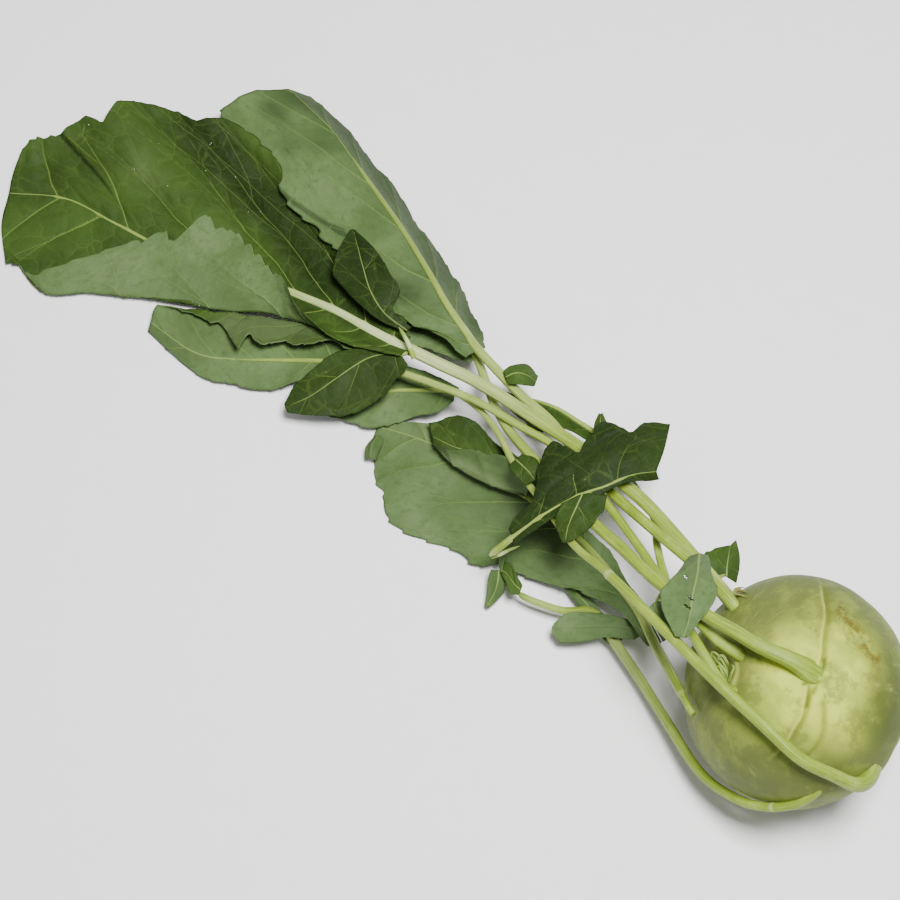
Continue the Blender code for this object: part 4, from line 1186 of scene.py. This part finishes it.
# Leaf 1, the largest: its dark upper side is up, with pale veins and a thick whitish midrib. The left
# half is folded over along its length, so that a broad flap of grey underside covers the midrib.
leaf_1 = {
    "route": [
        (29, -11, 53), (37, -13.5, 54), (56, -21.5, 51), (82, -32, 46), (102, -37, 43), (118, -41, 39),
        (141, -44, 34), (166, -47, 28), (185, -47, 24), (199, -47, 21), (217, -47, 18), (236, -48, 14),
        (258, -46, 11), (278, -43, 9), (299, -40, 8), (317, -36, 7), (339, -35, 6), (364, -34, 4),
        (387, -24, 2),
    ],
    "blade_from": 9,
    "radii": (2.6, 2.5, 0.6),
    "left": [
        [
            (200, -43, 21), (218, -40, 15), (236, -38, 10), (258, -35, 7), (276, -27, 6), (294, -20, 5),
            (311, -13, 4), (331, -4, 3), (350, 5, 2), (381, -10, 1),
        ],
        [
            (200, -41, 22), (221, -35, 20), (243, -37, 20), (261, -45, 18), (279, -52, 17), (297, -54, 16),
            (313, -45, 14), (327, -26, 11), (351, -2, 6), (370, 2, 2),
        ],
    ],
    "right": [
        [
            (203, -52, 21), (219, -58, 17), (242, -64, 12), (269, -70, 8), (295, -74, 6), (317, -70, 6),
            (336, -65, 7), (356, -57, 7), (378, -46, 4), (391, -34, 3),
        ],
        [
            (207, -57, 21), (221, -67, 20), (248, -79, 17), (279, -90, 13), (308, -101, 11), (332, -97, 10),
            (354, -91, 9), (373, -79, 9), (386, -55, 7), (393, -44, 5),
        ],
    ],
    "front": "upper",
    "ribs": {
        +1: [(8, 0.8), (26, 1.0), (45, 1.3), (72, 1.2), (112, 0.9), (156, 0.8), (173, 0.9)],
        -1: [(8, 0.9), (25, 1.05), (43, 1.1), (60, 1.15), (97, 1.5), (143, 0.4), (174, 0.1)],
    },
    # The crease is a real step in the blade, with a painted shadow line along its foot.
    "creases": [((141, -4), (171, -38), 2.6, 12.0)],
    "left_puff": 0.5,
    "edge": {
        +1: [
            (152, 5.0, 8.0), (143, -2.5, 2.0), (127, -6.0, 4.0), (117, 3.5, 3.5), (109, -2.5, 2.0),
            (99, 2.5, 4.0), (91, -1.5, 2.0), (84, -3.0, 3.0), (66, 3.0, 6.0),
        ],
    },
    "margin": {
        -1: [
            (50, 27), (56, 31), (69, 44), (79, 60), (85, 65), (93, 67), (102, 66.5), (108, 64), (112, 62),
            (116, 63), (120, 65), (129, 64.5), (139, 62), (146, 58), (149.5, 50), (151.5, 44.5),
            (157, 45.5), (163, 38), (166.5, 33), (169, 30.5), (175, 29),
        ],
    },
    # Painted shade in a dark band along the valley across the right half, and a few spots of painted light.
    "painted_light_and_tone_spots": [
        (112, -58, 14, 0.8), (100, -51, 12, 0.9), (86, -40, 12, 0.9), (72, -31, 12, 0.9),
        (57, -20, 14, 1.0), (39, -14, 16, 1.0), (20, -10, 16, 0.7), (186, -10, 12, 0.2),
        (135, -30, 14, -0.4), (95, -15, 14, -0.3), (75, -60, 10, -0.3),
    ],
}
grow_leaf("leaf_1", leaf_1, pale_stem, seed=10, flare=0.15, puff=2.0)

# Leaf 2: the leaf at the upper right, underside up, with a straight midrib that stands out and a
# narrow shaded half beyond it. It lies over the edge of leaf 1.
leaf_2 = {
    "route": [
        (31, -9, 58), (36, -11, 60.5), (46, -15, 58), (58, -19, 55), (77, -24, 50), (96, -31, 40),
        (115, -39, 33), (134, -48, 28), (151, -52, 27), (175, -60, 25), (183, -64, 24), (197, -71, 23),
        (210, -79, 22), (233, -92, 20), (259, -105, 17), (283, -117, 14), (311, -126, 9),
    ],
    "blade_from": 9,
    "radii": (2.3, 1.9, 0.6),
    "left": [
        [
            (177, -57, 25), (188, -60, 24), (201, -62, 23), (217, -68, 22), (240, -82, 20), (267, -93, 17),
            (292, -106, 15), (324, -115, 11),
        ],
        [
            (178, -55, 24), (194, -58, 22), (209, -56, 20), (228, -63, 18), (249, -71, 15), (276, -78, 13),
            (302, -95, 11), (330, -101, 10),
        ],
    ],
    "right": [[
        (174, -64, 22), (180, -71, 16), (194, -83, 8), (208, -92, 5), (231, -104, 3), (256, -116, 2),
        (281, -126, 2), (304, -131, 3),
    ]],
    "front": "under",
    "ribs": {
        +1: [(4, 2.1), (25, 2.3), (60, 1.6), (84, 2.2), (104, 2.1), (128, 1.7)],
        -1: [(10, 1.0), (34, 1.1), (58, 1.2), (84, 1.2), (110, 1.2)],
    },
    # Painted shade over the narrow half beyond the midrib, and darker and lighter spots on the wide half.
    "painted_light_and_tone_spots": [
        (148, 1, 8, 0.6), (143, 15, 6, 0.7), (130, 20, 7, 0.5), (133, -13, 16, 0.9), (103, -16, 18, 0.9),
        (68, -16, 20, 0.9), (25, -16, 20, 0.9), (40, 30, 14, 0.6), (12, 26, 12, 0.7), (40, 18, 16, -0.4),
        (82, 12, 12, -0.3), (110, 10, 12, -0.3), (63, 15, 9, 0.8), (46, 7, 10, 0.4), (125, 8, 6, 0.4),
        (94, 22, 3, 0.7),
    ],
    "edge": {+1: [(150, 3.0, 5.0), (138, -2.0, 3.0), (95, 2.0, 4.0), (118, 1.5, 3.0)]},
    # The crease is a small curl in the blade, with a painted shadow line along its foot.
    "creases": [((90, 20), (98, 24), 0.9, 6.0)],
}
grow_leaf("leaf_2", leaf_2, green_stem, seed=11, flare=0.15, stop=1.6)

# Leaf 1's far lobe: a dark pointed lobe on a short stalk of its own. It lies over the edges of
# leaves 1 and 2.
leaf_1_far_lobe = {
    "middle": [
        (204, -52, 25), (215, -53, 27), (225, -58, 27), (235, -67, 25), (242, -74, 23), (248, -80, 20),
    ],
    "left": [[
        (206, -51, 25), (218, -50, 25), (233, -54, 23), (244, -60, 22), (248, -68, 21), (249, -79, 20),
    ]],
    "right": [[
        (203, -54, 25), (213, -56, 27), (216, -64, 27), (223, -70, 27), (234, -75, 26), (247, -80, 21),
    ]],
    "front": "upper",
    "painted_light_and_tone_spots": [(20, 0, 60, 1.3)],
    "vein_size": 0.3,
}
grow_leaflet("leaf_1_far_lobe", leaf_1_far_lobe, seed=12)

# Leaf 8's leaflet: a scrap of dark blade beside the stalk, just showing beyond the others. It is one
# thin sheet without a stalk of its own.
leaf_8_leaflet = {
    "middle": [(159, -54, 29), (156, -57, 32), (152, -59, 31), (148, -60, 27)],
    "left": [[(156, -52, 30), (152, -54, 31), (149, -56, 29), (148, -58, 26)]],
    "right": [[(161, -56, 29), (159, -60, 29), (155, -64, 28), (149, -63, 25)]],
    "front": "upper",
}
grow_leaflet("leaf_8_leaflet", leaf_8_leaflet, seed=13)

# Leaf 3's leaflet: a small pointed scrap that shows above the broken leaf. It grows from the stalk
# below the blade.
leaf_3_leaflet = {
    "middle": [(113, -51, 36), (116, -55, 36), (118, -59, 34)],
    "left": [[(116, -50, 35), (118, -54, 34), (119, -59, 34)]],
    "right": [[(111, -53, 35), (114, -57, 34), (118, -60, 34)]],
    "front": "upper",
}
grow_leaflet("leaf_3_leaflet", leaf_3_leaflet, seed=14)

# Leaf 2's leaflet: a small dark lobe grown from the stalk close to the bulb, upper side out. It
# stands out beyond the leaflet of leaf 4.
leaf_2_leaflet = {
    "middle": [(43, -24, 44), (45, -28, 45), (48, -36, 43)],
    "left": [[(49.5, -22.4, 43), (54, -27.4, 43), (52.3, -31.8, 41.5)]],
    "right": [[(39, -24.5, 41.5), (42, -33, 42), (47.2, -39, 42.9)]],
    "front": "upper",
}
grow_leaflet("leaf_2_leaflet", leaf_2_leaflet, seed=15)

# Leaf 4's under leaflet: a small lobe below the big one, mostly hidden by it and by the stalks. Its
# underside is out.
leaf_4_under_leaflet = {
    "middle": [(60, 4, 60), (55, 8, 60), (49, 13, 60)],
    "left": [[(61, 7, 59), (56, 11, 59), (50, 15, 59)]],
    "right": [[(57, 2, 60), (51, 6, 60), (48, 12, 60)]],
    "front": "under",
    # Painted light: the lobe is lightened where it lies in the shade of the leaflet and stalks above it.
    "painted_light_and_tone_spots": [(8, 0, 30, -1.0)],
}
grow_leaflet("leaf_4_under_leaflet", leaf_4_under_leaflet, seed=16)

# Leaf 4's leaflet: a broad lobe arched over the stalks near the bulb, underside out. Insects have
# eaten three small holes through it.
leaf_4_leaflet = {
    "middle": [(55, -20, 64), (51, -9, 75), (48, 1, 80), (45, 8, 79), (43.6, 14.5, 75.5)],
    "left": [[(58, -18, 62), (58, -7, 70), (60, 3, 74), (53.5, 10, 75), (46.5, 15.5, 75)]],
    "right": [[(52, -22, 62), (47, -14, 72), (42, -6, 78), (41, 4, 81), (42.4, 13.5, 76)]],
    "front": "under",
    "slits": [(11.4, 5.3, 12.8, 4.4), (21, 2.2, 23, -1), (25.8, 2.4, 27.2, 0)],
}
grow_leaflet("leaf_4_leaflet", leaf_4_leaflet, seed=17)

# The broken leaf: it came off with its stalk snapped short, and lies across the others with its dark
# upper side up. Its margin is cut into deep lobes.
broken_leaf = {
    "route": [
        (126, 11, 25), (121, 2, 33), (114, -9, 44), (106, -20, 51), (99, -28, 53), (93, -37, 53),
        (86, -44, 51),
    ],
    "blade_from": 1,
    "radii": (1.4, 1.25, 0.45),
    "left": [[(119, 4, 32), (112, -6, 43), (104, -18, 50), (97, -27, 52), (91, -36, 51), (84, -43, 48)]],
    "right": [
        [(124, 0, 34), (119, -11, 45), (117, -25, 49), (108, -33, 52), (101, -45, 52), (88, -54, 49)],
        [(126, -4, 34), (123, -15, 44), (127, -32, 43), (116, -40, 47), (109, -54, 45), (92, -67, 42)],
    ],
    "front": "upper",
    "ribs": {+1: [(10, 1.0), (30, 1.0)], -1: [(-4, 3.2), (10, 1.1), (25, 0.55), (44, 0.7)]},
    "edge": {
        -1: [
            (29, 2.5, 2.5), (35.5, -4.0, 2.2), (40, 1.5, 2.5), (47, 4.5, 3.0), (54.5, -6.0, 2.6),
            (60, 2.0, 2.5), (22, -1.5, 2.0), (8, -4.0, 5.0),
        ],
    },
    "torn": True,
    "vein_size": 0.25,
    "margin": {
        -1: [(-4, 3), (0, 3.5), (3, 6), (7, 6), (12, 6.5), (15.5, 11), (19, 18), (25, 25.5), (30, 28)],
    },
    "painted_light_and_tone_spots": [(30, -10, 60, 1.0)],
}
grow_leaf("broken_leaf", broken_leaf, green_stem, seed=18, flare=0.0)

# A side branch of leaf 7: a short stalk that leaves it below the round lobe and points away from the
# bulb. It is as green and waxy as the other stalks.
branch = {
    "route": [
        (79, 5.5, 11), (84, 6, 11), (88, 8.5, 10), (93, 11, 9), (101, 13, 9), (108, 14, 9), (113, 13, 8),
    ],
    "radii": (1.5, 1.5, 1.2),
    "blade_from": 4,
    "tip_fade": 3.0,
}
piece = add_stem("leaf_7_branch_stem", branch, green_stem, flare=0.0, seed=20)
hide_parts("leaf_7_branch")

# The crumpled leaflet at the branch's end: two small dried lobes, one on each side of its tip. They
# are one thin toothed sheet.
branch_tip = {
    "middle": [(110, 13, 9), (114, 12, 10), (118, 10, 10), (122, 9, 10), (124, 5, 12)],
    "left": [[(111, 11, 9), (116, 8, 11), (120, 6, 11), (124, 7, 10), (126, 4, 12)]],
    "right": [[(110, 15, 8), (113, 16, 9), (117, 13, 10), (120, 11, 10), (122, 5, 13)]],
    "front": "upper",
}
below = trees_of("leaf_7_leaflet", "leaf_7_branch")
piece = add_sheet("leaf_7_branch_tip", branch_tip, below, cell=0.6, seed=37, puff=2.0)
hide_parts("leaf_7_branch")

# The lobe on the broken leaf's other side: the only part of the blade left below the midrib. It is
# tucked under the stalk and hangs down from it.
broken_lobe = {
    "middle": [(105, -21, 52), (104, -13, 51), (103, -7, 49), (101, -2, 46)],
    "left": [[(97, -25, 51), (95, -17, 49), (96, -10, 47), (100, -3, 46)]],
    "right": [[(110, -14, 50), (109, -8, 49), (106, -5, 47), (102, -2, 46)]],
    "front": "upper",
    "edge": {+1: [(8, -1.5, 1.5), (12, 1.5, 2.0)]},
    "tucked": True,
    "vein_size": 0.3,
    "painted_light_and_tone_spots": [(10, 0, 60, 0.5)],
}
below = trees_of(*laid[:-1], *[stalk for stalk in all_stalks if stalk != "broken_leaf_stalk"])
piece = add_sheet("broken_leaf_lobe", broken_lobe, below, cell=0.8, seed=31, teeth=0.8)
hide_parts("broken_leaf_blade")

# Leaf 7's round lobe: a smooth spoon-shaped lobe that lies over the stalk, underside up. It is thick
# and shows no veins.
spoon = {
    "middle": [(60, 3, 15), (70, 6, 14.5), (81, 12, 12), (88.5, 16.5, 10.5), (92.2, 18.8, 9.5)],
    "left": [[(62, 7, 13.5), (72, 12, 12.5), (80, 19, 10), (86.5, 21.8, 8.8), (91.4, 20.6, 9)]],
    "right": [[(61, 0, 15), (74, 3, 14.5), (83, 7.5, 13), (89.8, 11.8, 11.5), (92.4, 17, 10)]],
    "front": "under",
    "vein_size": -0.4,
}
below = trees_of("leaf_7_stalk", "leaf_7_branch")
piece = add_sheet("leaf_7_spoon", spoon, below, cell=0.8, seed=41, teeth=0.5)
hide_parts("leaf_7_blade")

# The strip torn off the broken stalk's end: a flat splinter of pale skin that stands away from it. It
# shows where the stalk was snapped.
def add_thread(name, route, radii, fade, finish, seed, cell, around=12):
    """A thin stem that runs through a few points and doesn't flare."""
    thread = {"route": route, "blade_from": 1, "radii": radii, "tip_fade": fade}
    return add_stem(name, thread, finish, flare=0.0, stop=0.05, around=around, seed=seed, cell=cell)


torn_route = [(125.2, 10.3, 21.5), (122.6, 8.2, 25), (120.2, 5.9, 28.3), (117.2, 3.2, 31.4)]
piece = add_thread("broken_leaf_torn_strip", torn_route, (0.5, 0.8, 0.5), 4.0, pale_stem, seed=3, cell=0.6)
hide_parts("broken_leaf_stalk")

# The curled flap of leaf 6's margin: a small piece of the blade's edge that has bent up and over. It
# is modelled as a strip of its own, laid over the margin.
curled_edge = {
    "middle": [(194, -14, 5), (193.3, -8, 6.8), (191.3, -3.6, 5.5)],
    "left": [[(195.5, -13, 3.4), (195.5, -7, 4.0), (193.3, -2.6, 3.6)]],
    "right": [[(191, -13.6, 4.6), (189.8, -8.4, 5.4), (188.8, -4.4, 4.8)]],
    "front": "under",
    "vein_size": -0.4,
    "painted_light_and_tone_spots": [(5, 0, 20, 0.3)],
}
piece = add_sheet("leaf_6_curled_edge", curled_edge, trees_of("leaf_7_stalk"), cell=0.6, seed=43, teeth=0.3)
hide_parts("leaf_6_blade")

# The far lobe's stalk: a short pale vein that joins the lobe to the side of leaf 1's midrib. It is
# round like the other stalks.
lobe_route = [(195, -43, 25.5), (199, -46, 27.6), (203, -48.4, 28.6), (207, -50.5, 28.4)]
piece = add_thread("leaf_1_far_lobe_stem", lobe_route, (1.1, 1.0, 0.7), 3.0, pale_stem, seed=5, cell=0.7)
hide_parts("leaf_1_far_lobe")

# The leaflets' own stalks: short thin veins that join the small lobes to the stalks they grow from.
# They are round, green and waxy like the stalks.
leaflet_stalks = {
    "leaf_3_leaflet": [(111.5, -50.5, 30), (111.8, -50.6, 33), (113.6, -51.8, 36)],
    "leaf_2_leaflet": [(47.5, -18, 52), (45.5, -20.5, 48.5), (43.6, -24.8, 44.4)],
    "leaf_4_leaflet": [(54, -17.8, 57), (54.4, -19, 60.5), (54.8, -19.2, 64.2)],
    "leaf_4_under_leaflet": [(58, -2, 62.5), (59.4, 1, 61.8), (59.4, 4.6, 60.3)],
    "leaf_1_near_lobe": [(199.5, -46.5, 21.5), (199.4, -44, 23.2), (201, -41.4, 24.2)],
    "leaf_6_leaflet": [(171, -22, 6.5), (170, -22.8, 9.5), (167, -23.6, 13)],
}
for leaflet, route in leaflet_stalks.items():
    piece = add_thread(f"{leaflet}_vein", route, (0.9, 0.8, 0.5), 1.5, green_stem, seed=7, cell=0.6)
    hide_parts(leaflet)

# The crown's young leaves: tiny pale shoots curled up in the hollow between the stalks, still too
# small to open. They grow from the top of the stem.
young_leaf = stem_finish("young leaf", srgb(150, 172, 84), srgb(96, 120, 36), srgb(186, 202, 126), 0.0)
curls = (
    [(23, 16, 66), (25, 15, 69), (29, 13.5, 69), (33, 11, 66)],
    [(24, 14.5, 66), (27, 13, 70), (30.5, 11.5, 70), (32.5, 11.5, 68.5), (31.5, 13, 67.5)],
    [(25, 13, 66), (26, 12.5, 71), (28.5, 11.5, 72), (29.5, 12.5, 71), (28.5, 13.5, 70.5)],
    [(22, 17, 66), (22.6, 15, 70.5), (23, 13, 72), (24.4, 12.8, 72)],
    [(23, 17, 66), (25.5, 16.4, 70), (27.6, 15.2, 70.6), (28.6, 16.2, 69.8)],
)
curl_radii = (0.6, 0.55, 0.35)
for number, route in enumerate(curls):
    piece = add_thread(f"young_leaf_{number}", route, curl_radii, 1.5, young_leaf, seed=number, cell=0.5)
    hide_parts("crown_bud")

# The dried threads: torn fibres at the foot of leaf 1's and leaf 2's stalks. They have turned straw
# yellow.
dry = stem_finish("dried thread", srgb(176, 168, 100), srgb(132, 118, 58), srgb(204, 196, 140), 0.0)
threads = (
    [(37, -15, 52), (36.4, -15.9, 55.8), (34.4, -15.3, 60.4), (31.5, -14.6, 64.4)],
    [(36.5, -16, 52), (36.6, -18, 54.2), (34.4, -17.9, 58.6), (32.3, -16.8, 62)],
    [(36.5, -17, 51), (37.6, -19.6, 49.6), (35.7, -20.4, 53.2), (34.4, -21, 54)],
)
for number, route in enumerate(threads):
    piece = add_thread(
        f"dried_thread_{number}", route, (0.7, 0.6, 0.3), 4.0, dry, seed=number, cell=0.5, around=8)

# The root: a short woody stub that was cut off below the bulb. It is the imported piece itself, so only
# its look is made here: brown-grey, rough and fibrous.
root_finish, surface, tone = start_finish("cut root", Specular_IOR_Level=0.2)
place = tone.place()
grain = tone.clouds(place, 160.0, 5.0, 0.65)
wood = grain.step(0.35, 0.7).blend(srgb(120, 108, 60), srgb(176, 168, 112))
wood = (tone.clouds(place, 60.0, 3.0).step(0.5, 0.65) * 0.6).blend(wood, srgb(92, 78, 44))
feed(surface, Base_Color=wood, Roughness=0.7 + 0.2 * grain)
feed(surface, Normal=tone.bump(grain, 0.0008, 0.8))
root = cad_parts["root_stub"]
root.data.materials.clear()
root.data.materials.append(root_finish)
